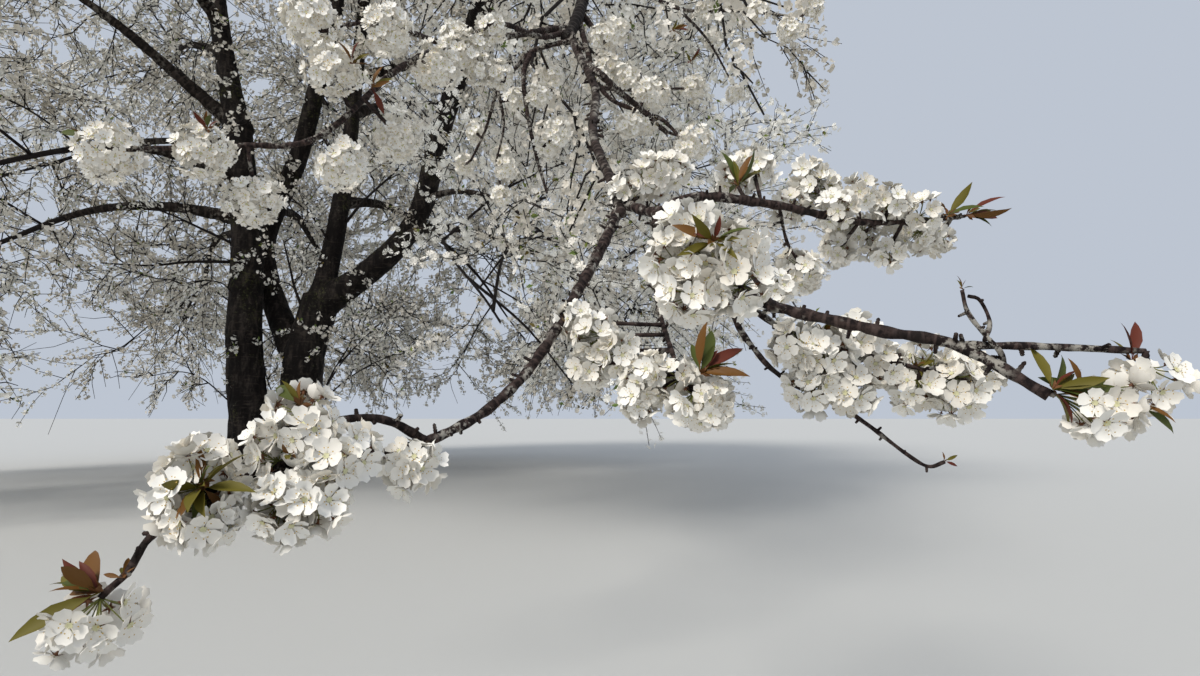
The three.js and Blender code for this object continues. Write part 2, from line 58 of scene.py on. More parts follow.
# The old wood: foot, stems, leaders and the great right bough, which grew as one. Living wood under
# dark, rough bark, cracked lengthways low down and banded higher up, with patches of moss.
# Each limb is a tapering tube along its bend. The tubes are fused, and then the bark is raised.
UP = np.array([0.0, 0.0, 1.0])
LENGTH_STEPS = 200  # straight steps by which the length of a course is measured
PULL = 0.38  # reach of the two handles of a bend, as a share of its span
WANDER = 0.012  # sideways wander of a limb, as a share of its span
TAPER = 0.85  # below 1, so that a limb thins faster near its foot
COLLAR = 0.35  # swelling at the foot of a limb, as a share of its radius
COLLAR_FADE = 1.4  # radii over which the swelling fades
TRUNK_TOP = 0.5  # height at which the root flare has faded out
BELOW_GROUND = 0.15  # length of a stem below its flat cut, until the cut is made
FLARE = 0.75  # widening of a stem at its foot, as a share of its radius
FLARE_FADE = 0.19
BUTTRESSES = 5
BUTTRESS_DEPTH = 0.2
BUTTRESS_TURN = {"stem_left": 0.4, "stem_right": 2.1}
STEMS = [
    dict(name="stem_left", start=(-0.17, -0.1, 0), leaves=(180, 86), to=(-0.55, -0.1, 4.12),
         arrives=(180, 82), radii=(0.215, 0.15)),
    dict(name="stem_right", start=(0.27, 0.1, 0), leaves=(0, 92), to=(0.46, 0.1, 2.09),
         arrives=(0, 74), radii=(0.25, 0.205)),
    dict(name="stem_middle", on="stem_right", share=0.6, leaves=(160, 52), to=(0.27, 0.4, 5.48),
         arrives=(0, 80), radii=(0.15, 0.1), pull=0.48),
    dict(name="leader_left", on="stem_left", share=0.98, leaves=(180, 75), to=(-1.1, -0.25, 8.3),
         arrives=(210, 84), radii=(0.135, 0.048)),
    dict(name="leader_middle", on="stem_middle", share=0.985, leaves=(10, 82),
         to=(0.45, 0.8, 8.7), arrives=(60, 82), radii=(0.098, 0.042)),
    dict(name="leader_right", on="stem_right", share=0.98, leaves=(0, 79), to=(0.95, 0.3, 7.6),
         arrives=(30, 80), radii=(0.125, 0.045)),
    dict(name="bough_right", on="stem_right", share=0.97, leaves=(-14, 20),
         to=(2.48, -1.2, 4.96), arrives=(-55, 54), radii=(0.155, 0.09)),
    dict(name="bough_overhead", on="bough_right", share=0.95, leaves=(-70, 12),
         to=(3.61, -5.6, 1.89), arrives=(-100, -50), radii=(0.06, 0.019)),
    dict(name="limb_near", on="bough_overhead", share=0.99, leaves=(-76, -46),
         to=(3.75, -6.58, 1.01), arrives=(-84, -36), radii=(0.013, 0.009)),
]
OLD_LIMBS = [row["name"] for row in STEMS[:7]]


def dice(seed):
    """The same draws each time: a small linear generator."""
    state = seed

    def roll():
        nonlocal state
        state = (state * 1664525 + 1013904223) & 0xFFFFFFFF
        return state / 4294967296

    return roll


def unit(vector):
    return vector / np.linalg.norm(vector)


def units(vectors):
    """Each row of some vectors, brought to length 1."""
    return vectors / np.linalg.norm(vectors, axis=1)[:, None]


def between(ends, share):
    """The value at a share of the way from the first end to the second."""
    return ends[0] + (ends[1] - ends[0]) * share


def heading(azimuth, rise):
    """A unit vector from degrees round from +X and degrees above level."""
    turn, lift = math.radians(azimuth), math.radians(rise)
    level = math.cos(lift)
    return np.array([level * math.cos(turn), level * math.sin(turn), math.sin(lift)])


def across(direction, turn):
    """The unit vector across a heading, turned round it by an angle in degrees."""
    level = unit(np.cross(direction, UP))
    turn = math.radians(turn)
    return level * math.cos(turn) + np.cross(direction, level) * math.sin(turn)


class Course:
    """A line through space, from share 0 to share 1 of its length."""

    def __init__(self, at):
        self.at = at
        places = np.array([at(k / LENGTH_STEPS) for k in range(LENGTH_STEPS + 1)])
        self.length = float(np.linalg.norm(np.diff(places, axis=0), axis=1).sum())

    def heading_at(self, share):
        return unit(self.at(share + 1e-3) - self.at(share - 1e-3))

    def places(self, start, end, spacing):
        """Places about a spacing apart from one share to another, and the share of each."""
        count = max(2, math.ceil(abs(end - start) * self.length / spacing) + 1)
        shares = np.linspace(start, end, count)
        return np.array([self.at(share) for share in shares]), shares


def limb_course(start, leaves, end, arrives, seed, pull=PULL):
    """One bend from where a limb leaves to where it arrives, with a slight wander."""
    roll = dice(seed)
    span = np.linalg.norm(end - start)
    handles = [start, start + pull * span * leaves, end - pull * span * arrives, end]
    sideways = unit(np.cross(end - start, UP))
    phase = 2 * math.pi * roll()
    sway = WANDER * (1 + roll()) * span

    def at(share):
        rest = 1 - share
        weights = (rest**3, 3 * share * rest**2, 3 * share**2 * rest, share**3)
        wave = math.sin(math.pi * share) * math.sin(phase + 9 * share)
        return sum(w * h for w, h in zip(weights, handles)) + sideways * (sway * wave)

    return Course(at)


def legs_along(course, shares):
    """Straight legs between the places of a course at some shares."""
    places = [course.at(share) for share in shares]

    def at(share):
        leg = 1
        while leg < len(shares) - 1 and share > shares[leg]:
            leg += 1
        along = (share - shares[leg - 1]) / (shares[leg] - shares[leg - 1])
        return places[leg - 1] * (1 - along) + places[leg] * along

    return Course(at)


limbs = {}


def add_limb(name, course, foot, tip, to=1.0, collar=True):
    """Keeps a limb by name. It has its tip's radius at the share that to gives."""

    def radius_at(share):
        fade = math.exp(-share * course.length / (COLLAR_FADE * foot))
        swelling = COLLAR * foot * fade if collar else 0
        return between((foot, tip), max(share / to, 0) ** TAPER) + swelling

    limbs[name] = SimpleNamespace(name=name, course=course, radius_at=radius_at, tip=tip, to=to)


for index, row in enumerate(STEMS):
    parent = limbs.get(row.get("on"))
    start = parent.course.at(row["share"]) if parent else np.array(row["start"], float)
    course = limb_course(
        start, heading(*row["leaves"]), np.array(row["to"], float), heading(*row["arrives"]),
        seed=11 + index, pull=row.get("pull", PULL),
    )
    add_limb(row["name"], course, *row["radii"], collar=parent is not None)


def tube(places, radii, sides):
    """Points and triangles of a closed tube along a line of places, as rings carried along it."""
    places = np.asarray(places, float)
    radii = np.asarray(radii, float)
    along = units(np.gradient(places, axis=0))
    side = np.empty_like(places)
    side[0] = across(along[0] + 1e-6, 0)
    for k in range(1, len(places)):
        side[k] = unit(side[k - 1] - along[k] * (side[k - 1] @ along[k]))
    third = np.cross(along, side)
    turns = np.arange(sides) * 2 * math.pi / sides
    ring = side[:, None] * np.cos(turns)[:, None] + third[:, None] * np.sin(turns)[:, None]
    radii = radii[:, None] if radii.ndim == 1 else radii
    points = places[:, None] + ring * radii[..., None]
    rows = np.arange(len(places) - 1)[:, None] * sides
    near = np.arange(sides)[None]
    far = (near + 1) % sides
    a, b, c, d = rows + near, rows + far, rows + sides + far, rows + sides + near
    walls = np.stack([a, b, c, a, c, d], -1).reshape(-1, 3)
    spokes = np.arange(1, sides - 1)
    foot = np.stack([0 * spokes, spokes + 1, spokes], -1)
    last = (len(places) - 1) * sides
    tip = np.stack([0 * spokes, spokes, spokes + 1], -1) + last
    return points.reshape(-1, 3), np.concatenate([walls, foot, tip])


class Heap:
    """Gathers the points and triangles of one piece, part by part."""

    def __init__(self):
        self.points, self.faces, self.finish, self.marks = [], [], [], []
        self.count = 0

    def add(self, shape, finish=0, marks=0.0):
        points, faces = shape
        self.points.append(points)
        self.faces.append(faces + self.count)
        self.finish.append(np.broadcast_to(finish, len(faces)))
        self.marks.append(np.broadcast_to(marks, len(points)))
        self.count += len(points)

    def piece(self, name, materials, smooth=True):
        """The mesh object. marks become its attribute along, which bark patterns read."""
        points = np.concatenate(self.points).astype(np.float32)
        faces = np.concatenate(self.faces).astype(np.int32)
        mesh = bpy.data.meshes.new(name)
        mesh.vertices.add(len(points))
        mesh.vertices.foreach_set("co", points.ravel())
        mesh.loops.add(faces.size)
        mesh.loops.foreach_set("vertex_index", faces.ravel())
        mesh.polygons.add(len(faces))
        mesh.polygons.foreach_set("loop_start", np.arange(0, faces.size, 3, dtype=np.int32))
        finish = np.concatenate(self.finish).astype(np.int32)
        mesh.polygons.foreach_set("material_index", finish)
        mesh.polygons.foreach_set("use_smooth", np.full(len(faces), smooth))
        marks = np.concatenate(self.marks).astype(np.float32)
        if marks.any():
            mesh.attributes.new("along", "FLOAT", "POINT").data.foreach_set("value", marks)
        mesh.update(calc_edges=True)
        for material in materials:
            mesh.materials.append(material)
        piece = bpy.data.objects.new(name, mesh)
        bpy.context.scene.collection.objects.link(piece)
        return piece


def grain(points, scale):
    """Smooth noise from -1 to 1 at each point, with a scale for each axis."""
    scaled = np.asarray(points) * scale
    return np.array([noise.noise(Vector(place)) for place in scaled.reshape(-1, 3)])


def foot_radius(stem, share, turn):
    """A stem's radius with its root flare and the ridges of the flare."""
    height = min(max(stem.course.at(share)[2], 0), TRUNK_TOP)
    flare = FLARE * math.exp(-height / FLARE_FADE) * (1 - height / TRUNK_TOP)
    ridge = 1 + BUTTRESS_DEPTH * math.cos(BUTTRESSES * turn + BUTTRESS_TURN[stem.name])
    return stem.radius_at(max(share, 0)) * (1 + flare * ridge)


OLD_SIDES = 36
OLD_SPACING = 0.06
VOXEL = 0.019  # size of the faces of the fused skin
old_heap = Heap()
for name in OLD_LIMBS:
    limb = limbs[name]
    start = -BELOW_GROUND / limb.course.length if name in BUTTRESS_TURN else 0.0
    places, shares = limb.course.places(start, 1.0, OLD_SPACING)
    if name in BUTTRESS_TURN:
        turns = np.arange(OLD_SIDES) * 2 * math.pi / OLD_SIDES
        radii = [[foot_radius(limb, share, turn) for turn in turns] for share in shares]
    else:
        radii = [limb.radius_at(share) for share in shares]
    old_heap.add(tube(places, radii, OLD_SIDES))

old_wood = old_heap.piece("old_wood", [])
bpy.context.view_layer.objects.active = old_wood
old_wood.select_set(True)
fuse = old_wood.modifiers.new("fuse", "REMESH")
fuse.mode = "VOXEL"
fuse.voxel_size = VOXEL
fuse.use_smooth_shade = True
bpy.ops.object.modifier_apply(modifier="fuse")
soften = old_wood.modifiers.new("soften", "SMOOTH")
soften.factor = 0.6
soften.iterations = 4
bpy.ops.object.modifier_apply(modifier="soften")


BARK_LUMPS = ((0.014, 2.3), (0.006, 7))  # depth and fineness of the large and the small ones
PLATE_FINENESS = (15, 15, 3.6)  # the plates are about four times as long as they are wide
CRACK_DEPTH = 0.016
CRACK_WIDTH = 0.09
BAND_DEPTH = 0.004
BAND_FINENESS = (3, 3, 34)
AGE_FADE = 4.5  # height over which the bark grows younger


def raise_bark(piece):
    """Moves the points of the old wood out and in: lumps, cracks between long plates, and bands."""
    mesh = piece.data
    places = np.empty(len(mesh.vertices) * 3)
    mesh.vertices.foreach_get("co", places)
    places = places.reshape(-1, 3)
    normals = np.empty(len(mesh.vertices) * 3)
    mesh.vertices.foreach_get("normal", normals)
    age = np.clip(1.15 - places[:, 2] / AGE_FADE, 0.25, 1)
    lumps = sum(depth * grain(places, fineness) for depth, fineness in BARK_LUMPS)
    plates = np.abs(grain(places + 0.02 * lumps[:, None], PLATE_FINENESS))
    cracks = -CRACK_DEPTH * np.exp(-plates / CRACK_WIDTH)
    bands = BAND_DEPTH * grain(places, BAND_FINENESS)
    rise = age * (lumps + cracks + 0.003) + (1.2 - age) * bands
    places += normals.reshape(-1, 3) * rise[:, None]
    mesh.vertices.foreach_set("co", places.ravel())
    mesh.update()


raise_bark(old_wood)
bpy.ops.object.mode_set(mode="EDIT")
bpy.ops.mesh.select_all(action="SELECT")
bpy.ops.mesh.bisect(plane_co=(0, 0, 0), plane_no=(0, 0, 1), clear_inner=True, use_fill=True)
bpy.ops.object.mode_set(mode="OBJECT")
for point in old_wood.data.vertices:
    point.co.z = max(point.co.z, 0)
old_wood.select_set(False)


class Value:
    """A shader value. Sums and products of values are written as they are read."""

    def __init__(self, finish, socket):
        self.finish, self.socket = finish, socket

    def math(self, operation, first, second=None):
        inputs = {0: first} if second is None else {0: first, 1: second}
        return self.finish.node("ShaderNodeMath", {"operation": operation}, inputs)

    def __add__(self, other):
        return self.math("ADD", self, other)

    def __sub__(self, other):
        return self.math("SUBTRACT", self, other)

    def __rsub__(self, other):
        return self.math("SUBTRACT", other, self)

    def __mul__(self, other):
        return self.math("MULTIPLY", self, other)

    def sine(self):
        return self.math("SINE", self)

    def above(self, low, high):
        """0 below low, 1 above high, and smooth between them."""
        settings = {"interpolation_type": "SMOOTHSTEP"}
        return self.finish.node("ShaderNodeMapRange", settings, {"Value": self, 1: low, 2: high})

    __radd__ = __add__
    __rmul__ = __mul__


class Finish:
    """One material: a Principled shader and what feeds it."""

    def __init__(self, name, color, roughness, shine=0.5):
        self.material = bpy.data.materials.new(name)
        self.material.use_nodes = True
        self.tree = self.material.node_tree
        self.shader = self.tree.nodes["Principled BSDF"]
        self.shader.inputs["Base Color"].default_value = (*color, 1)
        self.shader.inputs["Roughness"].default_value = roughness
        self.shader.inputs["Specular IOR Level"].default_value = shine

    def put(self, socket, value):
        if isinstance(value, Value):
            self.tree.links.new(value.socket, socket)
        elif hasattr(value, "__len__") and len(value) == 3 and socket.type == "RGBA":
            socket.default_value = (*value, 1)
        else:
            socket.default_value = value

    def node(self, kind, settings=None, inputs=None, output=0):
        """Adds a node of a kind, with its settings set first, and gives one of its outputs."""
        node = self.tree.nodes.new(kind)
        for key, value in (settings or {}).items():
            setattr(node, key, value)
        for key, value in (inputs or {}).items():
            self.put(node.inputs[key], value)
        return Value(self, node.outputs[output])

    def coordinates(self, scale=(1, 1, 1)):
        place = self.node("ShaderNodeTexCoord", output="Object")
        return self.node("ShaderNodeMapping", None, {"Vector": place, "Scale": scale})

    def noise(self, place, scale, detail=3.0, roughness=0.55):
        inputs = {"Vector": place, "Scale": scale, "Detail": detail, "Roughness": roughness}
        return self.node("ShaderNodeTexNoise", None, inputs)

    def mix(self, share, first, second):
        """The first colour where share is 0, and the second where it is 1."""
        settings = {"data_type": "RGBA"}
        return self.node("ShaderNodeMix", settings, {0: share, 6: first, 7: second}, output=2)

    def attribute(self, name):
        return self.node("ShaderNodeAttribute", {"attribute_name": name}, output="Fac")

    def feed(self, color, roughness, height, depth, strength):
        """Links a colour, a roughness and a bump of some depth and strength to the shader."""
        inputs = {"Height": height, "Distance": depth, "Strength": strength}
        bump = self.node("ShaderNodeBump", None, inputs)
        for socket, value in (("Base Color", color), ("Roughness", roughness), ("Normal", bump)):
            self.put(self.shader.inputs[socket], value)


def old_bark():
    """Nearly black plates with paler weathered faces, level bands, and patches of moss."""
    finish = Finish("old_bark", (0.03, 0.024, 0.02), 0.92, 0.25)
    plates = finish.noise(finish.coordinates((1, 1, 0.24)), 17, 5, 0.62)
    patches = finish.noise(finish.coordinates(), 2.6, 4)
    bands = finish.noise(finish.coordinates((0.12, 0.12, 1)), 46, 2)
    specks = finish.noise(finish.coordinates(), 38, 4, 0.7)
    worn = (plates * 0.7 + specks * 0.3).above(0.46, 0.64)
    color = finish.mix(worn, (0.007, 0.005, 0.0045), (0.036, 0.028, 0.023))
    color = finish.mix(bands.above(0.6, 0.68) * 0.35, color, (0.075, 0.058, 0.046))
    color = finish.mix(specks.above(0.62, 0.68) * patches.above(0.45, 0.6), color, (0.12, 0.12, 0.085))
    moss = patches.above(0.55, 0.64) * specks.above(0.5, 0.62)
    color = finish.mix(moss * 0.75, color, (0.05, 0.055, 0.012))
    finish.feed(color, 0.95 - 0.15 * worn, plates * 0.8 + specks * 0.35, 0.02, 0.8)
    return finish.material


old_wood.data.materials.append(old_bark())
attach(old_wood, "root")
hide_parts("trunk", *OLD_LIMBS)

# The boughs: one tapering limb from a stem to each mass of blossom. Younger wood, whose bark is
# smoother, reddish grey and ringed with corky bands. Each is swollen where it leaves its stem.
ARM_SPLIT = 0.46  # share of an arm that is a bough. The rest is the spine of its mass
ARM_TIP = 0.42  # radius at the split, as a share of the radius at the foot
BOUGH_STEPS = 4
SPINE_STEPS = 3
SPINE_TIP = 0.009
BOUGH_SIDES = 12
BOUGH_SPACING = 0.045
BOUGH_LUMPS = (11, 0.16)  # fineness, and depth as a share of the radius
OVERLAP = 0.01  # share by which a bough reaches on into its mass
GAP = 0.0003  # from the end of a bough to the start of its spine
ARMS = [
    dict(name="left_low", on="stem_left", share=0.73, azimuth=-166, rise=(16, -30), out=4.1,
         height=1.8, radius=0.078),
    dict(name="front_left_low", on="stem_left", share=0.84, azimuth=-124, rise=(14, -34),
         out=3.9, height=1.9, radius=0.066),
    dict(name="left_mid", on="stem_left", share=0.95, azimuth=174, rise=(8, -16), out=4.3,
         height=3.5, radius=0.058),
    dict(name="back_left_low", on="stem_left", share=0.66, azimuth=136, rise=(30, -30), out=4.1,
         height=2.0, radius=0.07),
    dict(name="back_low", on="stem_middle", share=0.5, azimuth=98, rise=(22, -30), out=4.2,
         height=1.95, radius=0.066),
    dict(name="back_right_low", on="leader_right", share=0.2, azimuth=54, rise=(24, -30),
         out=4.2, height=2.0, radius=0.066),
    dict(name="right_low", on="bough_right", share=0.36, azimuth=16, rise=(16, -26), out=3.9,
         height=2.3, radius=0.06),
    dict(name="right_front_low", on="bough_right", share=0.3, azimuth=-42, rise=(10, -34),
         out=4.0, height=1.4, radius=0.038),
    dict(name="right_front_mid", on="bough_right", share=0.46, azimuth=-27, rise=(8, -38),
         out=4.3, height=1.75, radius=0.042),
    dict(name="left_front", on="stem_left", share=0.99, azimuth=-158, rise=(40, 18), out=4.4,
         height=6.3, radius=0.085),
    dict(name="back_left_mid", on="leader_left", share=0.2, azimuth=146, rise=(36, 8), out=4.3,
         height=6.0, radius=0.072),
    dict(name="back_mid", on="stem_middle", share=0.86, azimuth=104, rise=(34, 6), out=4.4,
         height=5.7, radius=0.072),
    dict(name="back_right_mid", on="leader_right", share=0.42, azimuth=62, rise=(34, 8), out=4.4,
         height=5.9, radius=0.068),
    dict(name="right_mid", on="leader_right", share=0.5, azimuth=18, rise=(30, 0), out=4.4,
         height=5.4, radius=0.066),
    dict(name="right_front_high", on="bough_right", share=0.92, azimuth=-35, rise=(30, -8),
         out=5.0, height=5.1, radius=0.062),
    dict(name="front_high", on="bough_overhead", share=0.16, azimuth=-76, rise=(34, -12),
         out=5.7, height=4.7, radius=0.062),
    dict(name="front_left_high", on="leader_left", share=0.3, azimuth=-108, rise=(28, -10),
         out=4.7, height=5.0, radius=0.07),
    dict(name="left_top", on="leader_left", share=0.62, azimuth=-176, rise=(46, 26), out=3.3,
         height=8.8, radius=0.058),
    dict(name="front_top", on="leader_right", share=0.66, azimuth=-62, rise=(48, 24), out=3.0,
         height=8.4, radius=0.056),
    dict(name="back_top", on="leader_middle", share=0.42, azimuth=100, rise=(48, 24), out=3.2,
         height=8.8, radius=0.054),
    dict(name="right_top", on="leader_right", share=0.74, azimuth=22, rise=(50, 30), out=3.3,
         height=8.7, radius=0.05),
]
CRESTS = [
    dict(name="left_crest", on="leader_left", to=(-1.5, -0.7, 10.4), arrives=(215, 70)),
    dict(name="middle_crest", on="leader_middle", to=(0.45, 1.4, 10.8), arrives=(70, 72)),
    dict(name="right_crest", on="leader_right", to=(1.4, -0.25, 10.0), arrives=(0, 68)),
]

masses = []


def add_mass(name, bend, joints, start, foot, seed):
    """Keeps a mass by the bend of its spine and the straight legs that its twigs stand on."""

    def radius_at(share):
        return foot + (SPINE_TIP - foot) * (share - start) / (1 - start)

    course = legs_along(bend, joints)
    mass = dict(name=name, bend=bend, course=course, start=start, radius_at=radius_at, seed=seed)
    masses.append(SimpleNamespace(**mass))


for index, arm in enumerate(ARMS):
    start = limbs[arm["on"]].course.at(arm["share"])
    end = heading(arm["azimuth"], 0) * arm["out"]
    end[2] = arm["height"]
    bearing = math.degrees(math.atan2(end[1] - start[1], end[0] - start[0]))
    rises = [heading(bearing, rise) for rise in arm["rise"]]
    bend = limb_course(start, rises[0], end, rises[1], seed=51 + index)
    joints = [ARM_SPLIT * k / BOUGH_STEPS for k in range(BOUGH_STEPS)]
    joints += [ARM_SPLIT + (1 - ARM_SPLIT) * k / SPINE_STEPS for k in range(SPINE_STEPS + 1)]
    tip = ARM_TIP * arm["radius"]
    add_limb("bough_" + arm["name"], bend, arm["radius"], tip, to=ARM_SPLIT)
    limbs["bough_" + arm["name"]].legs = legs_along(bend, joints)
    add_mass(arm["name"], bend, joints, ARM_SPLIT + GAP / bend.length, tip, seed=101 + index)

for index, crest in enumerate(CRESTS):
    leader = limbs[crest["on"]]
    start = leader.course.at(1)
    bend = limb_course(
        start, leader.course.heading_at(1), np.array(crest["to"], float),
        heading(*crest["arrives"]), seed=81 + index,
    )
    joints = [k / SPINE_STEPS for k in range(SPINE_STEPS + 1)]
    add_mass(crest["name"], bend, joints, 0.0, leader.tip, seed=151 + index)


def rough_tube(places, radii, sides, scale, depth):
    """A tube whose skin is lumpy, by noise of a scale and a depth as a share of the radius."""
    radii = np.repeat(np.asarray(radii, float)[:, None], sides, axis=1)
    points, _ = tube(places, radii, sides)
    lumps = grain(points, scale).reshape(radii.shape)
    return tube(places, radii * (1 + depth * lumps), sides)


bough_heap = Heap()
for arm in ARMS:
    limb = limbs["bough_" + arm["name"]]
    places, shares = limb.course.places(0.0, ARM_SPLIT + OVERLAP, BOUGH_SPACING)
    radii = [limb.radius_at(share) for share in shares]
    marks = np.repeat(shares * limb.course.length, BOUGH_SIDES)
    bough_heap.add(rough_tube(places, radii, BOUGH_SIDES, *BOUGH_LUMPS), marks=marks)


def young_bark(name, dark, pale, crust, fineness):
    """Reddish grey bark with corky bands round the limb, dark knots and crusts of pale lichen."""
    finish = Finish(name, dark, 0.8, 0.15)
    along = finish.attribute("along")
    speckle = finish.noise(finish.coordinates(), 60 * fineness, 4, 0.65)
    patches = finish.noise(finish.coordinates(), 9 * fineness, 3)
    ring = finish.noise(finish.coordinates(), 14 * fineness, 2)
    bands = ((along * (210 * fineness) + ring * 9).sine() * 0.5 + 0.5).above(0.7, 0.98)
    color = finish.mix(speckle.above(0.35, 0.65), dark, pale)
    color = finish.mix(bands * 0.3, color, tuple(2.6 * part for part in pale))
    lichen = patches.above(0.5, 0.6) * speckle.above(0.47, 0.56)
    color = finish.mix(lichen * crust, color, (0.33, 0.31, 0.27))
    color = finish.mix((1 - patches).above(0.56, 0.66) * 0.85, color, (0.012, 0.009, 0.008))
    height = speckle * 0.6 + bands * 0.3 + lichen * 0.5
    finish.feed(color, 0.85 - 0.2 * bands, height, 0.004 / fineness, 0.7)
    return finish.material


bough_bark = young_bark("bough_bark", (0.008, 0.006, 0.005), (0.032, 0.024, 0.02), 0.25, 0.4)
boughs = bough_heap.piece("boughs", [bough_bark])
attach(boughs, "root")
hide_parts(*["bough_" + arm["name"] for arm in ARMS])

# The long front bough: it arches over from the right bough, and its last limb droops to eye level.
# Its bark is seen close by: pinkish grey, ringed with corky bands, crusted with pale lichen, and
# knobbed with the stubs of old flower spurs.
NEAR_SIDES = 24
FRONT_LUMPS = (34, 0.13)
KNOBS = [("bough_overhead", 60, 0.35), ("limb_near", 46, 0.06)]  # limb, count, first share
LAST_KNOB = 0.98
KNOB_SIZE = 0.0075
FINISH_OF = {"bough_overhead": 0, "limb_near": 1}
front_heap = Heap()
for name, spacing in (("bough_overhead", 0.014), ("limb_near", 0.005)):
    limb = limbs[name]
    places, shares = limb.course.places(0.0, 1.0, spacing)
    radii = [limb.radius_at(share) for share in shares]
    marks = np.repeat(shares * limb.course.length, NEAR_SIDES)
    front_heap.add(rough_tube(places, radii, NEAR_SIDES, *FRONT_LUMPS), FINISH_OF[name], marks)


def knob(root, direction, size, roll):
    """An old spur: a short stub ringed with the scars of past years, with a blunt tip."""
    rings = 3 + int(3 * roll())
    length = size * (0.8 + 1.2 * roll())
    steps = np.linspace(0, 1, 2 * rings + 1)
    lean = unit(direction + 0.4 * (np.array([roll(), roll(), roll()]) - 0.5))
    places = root + np.outer(steps * length, lean)
    radii = size * (0.36 - 0.1 * steps) * np.where(np.arange(len(steps)) % 2, 1.18, 0.92)
    radii[-1] *= 0.5
    return tube(places, radii, 7)


for name, count, first in KNOBS:
    limb, roll = limbs[name], dice(301 + count)
    for k in range(count):
        share = first + (LAST_KNOB - first) * (k + roll()) / count
        out = across(limb.course.heading_at(share), 360 * roll())
        root = limb.course.at(share) + out * limb.radius_at(share) * 0.8
        front_heap.add(knob(root, out, KNOB_SIZE * (0.7 + 0.8 * roll()), roll), FINISH_OF[name])

overhead_bark = young_bark("overhead_bark", (0.005, 0.004, 0.004), (0.015, 0.011, 0.01), 0.15, 1.0)
limb_bark = young_bark("limb_bark", (0.01, 0.007, 0.006), (0.045, 0.032, 0.028), 0.6, 1.0)
front_bough = front_heap.piece("front_bough", [overhead_bark, limb_bark])
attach(front_bough, "root")
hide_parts("bough_overhead", "limb_near")

# The twigs of the crown. Each mass has a spine, side twigs round it by a golden angle, and sprays
# on those. Thin reddish brown wood, finer at each branching. The sprays stand where the rule of the
# solids puts them, and shorter ones fill in between.
FREE = 0.008  # air that stays between two masses
TWIGS_PER_MASS = 4
TWIG_ANGLE = 56
TWIG_LENGTH = 1.75
TWIG_RADII = (0.015, 0.007)
TWIG_DROOP = 0.28
GOLDEN_ANGLE = 137.5
SPRAY_SIZE = (1.15, 0.5)  # length and width
SPRAY_ANGLE = 42
TWIG_SPRAYS = (0.46, 0.74, 1)  # shares of a twig where sprays stand
SPINE_SPRAYS = (0.86, 1)
LOWEST_SPRAY = 0.9
LIMB_BALLS = 0.09  # spacing of the balls that mark a limb's room
SPINE_BALLS = 24
TWIG_BALLS = 14
BAY = ((0, -0.3, 1.9), (3.7, -7.6, 0.8), 1.0, 0.35)  # from, to and the radii there


class Space:
    """Room already taken in the crown, as balls, each with its owner and kind."""

    def __init__(self):
        self.centres, self.radii, self.owners, self.sprays = [], [], [], []

    def take(self, centres, radii, owner, spray):
        self.centres += list(centres)
        self.radii += list(radii)
        self.owners += [owner] * len(radii)
        self.sprays += [spray] * len(radii)

    def is_free(self, centres, radii, owner, spray):
        there, sizes = np.array(self.centres), np.array(self.radii)
        own = np.array(self.owners) == owner
        sprays = np.array(self.sprays)
        for index, (centre, radius) in enumerate(zip(centres, radii)):
            mine = own & ~sprays if spray and index > 1 else own
            apart = np.linalg.norm(there - centre, axis=1) > sizes + radius + FREE
            if not np.all(mine | apart):
                return False
        return True


def balls_along(course, radius_at, start, end, count):
    """Centres and radii of balls that follow a limb from one share to another."""
    shares = np.linspace(start, end, count)
    return [course.at(share) for share in shares], [radius_at(share) for share in shares]


space = Space()
for limb in limbs.values():
    line = getattr(limb, "legs", limb.course)
    count = math.ceil(line.length * limb.to / LIMB_BALLS)
    space.take(*balls_along(line, limb.radius_at, 0, limb.to, count), limb.name, False)
for mass in masses:
    centres, radii = balls_along(mass.course, mass.radius_at, mass.start, 1, SPINE_BALLS)
    mass.spine = np.array(centres)
    space.take(centres[1:], radii[1:], mass.name, False)


def owns_place(mass, place):
    """Each place in the crown belongs to the mass whose spine lies nearest."""
    away = {m.name: np.linalg.norm(m.spine - place, axis=1).min() for m in masses}
    own = away.pop(mass.name)
    return min(away.values()) > own


def in_bay(place):
    """Whether a place lies in the open bay in front of the stems."""
    start, end = np.array(BAY[0]), np.array(BAY[1])
    share = min(max((place - start) @ (end - start) / ((end - start) @ (end - start)), 0), 1)
    return np.linalg.norm(between((start, end), share) - place) < between(BAY[2:], share)


def grow_sprays(mass, twig, shares, roll):
    """The sprays of a twig stand to its two sides in turn, and the last one goes straight on."""
    sprays = []
    for index, share in enumerate(shares):
        root = twig.at(share)
        last = index == len(shares) - 1
        along = twig.heading_at(share)
        side = across(along, 180 * (index % 2) + 60 * (roll() - 0.5))
        lean = 0 if last else math.radians(SPRAY_ANGLE)
        direction = along * math.cos(lean) + side * math.sin(lean)
        scale = 0.82 + 0.36 * roll()
        turn = 360 * roll()
        size = [measure * scale for measure in SPRAY_SIZE]
        parts = (0.1, 0.3, 0.5, 0.7, 0.9)
        centres = [root + direction * part * size[0] for part in parts]
        radii = [size[1] / 2 * (1 - abs(2 * part - 1)) for part in parts]
        if centres[4][2] < LOWEST_SPRAY or in_bay(centres[2]) or in_bay(centres[4]):
            continue
        if owns_place(mass, centres[2]) and space.is_free(centres, radii, mass.name, True):
            space.take(centres, radii, mass.name, True)
            spray = dict(share=share, direction=direction, size=size, turn=turn)
            sprays.append(SimpleNamespace(**spray))
    return sprays


def twig_radius(share):
    return between(TWIG_RADII, share)


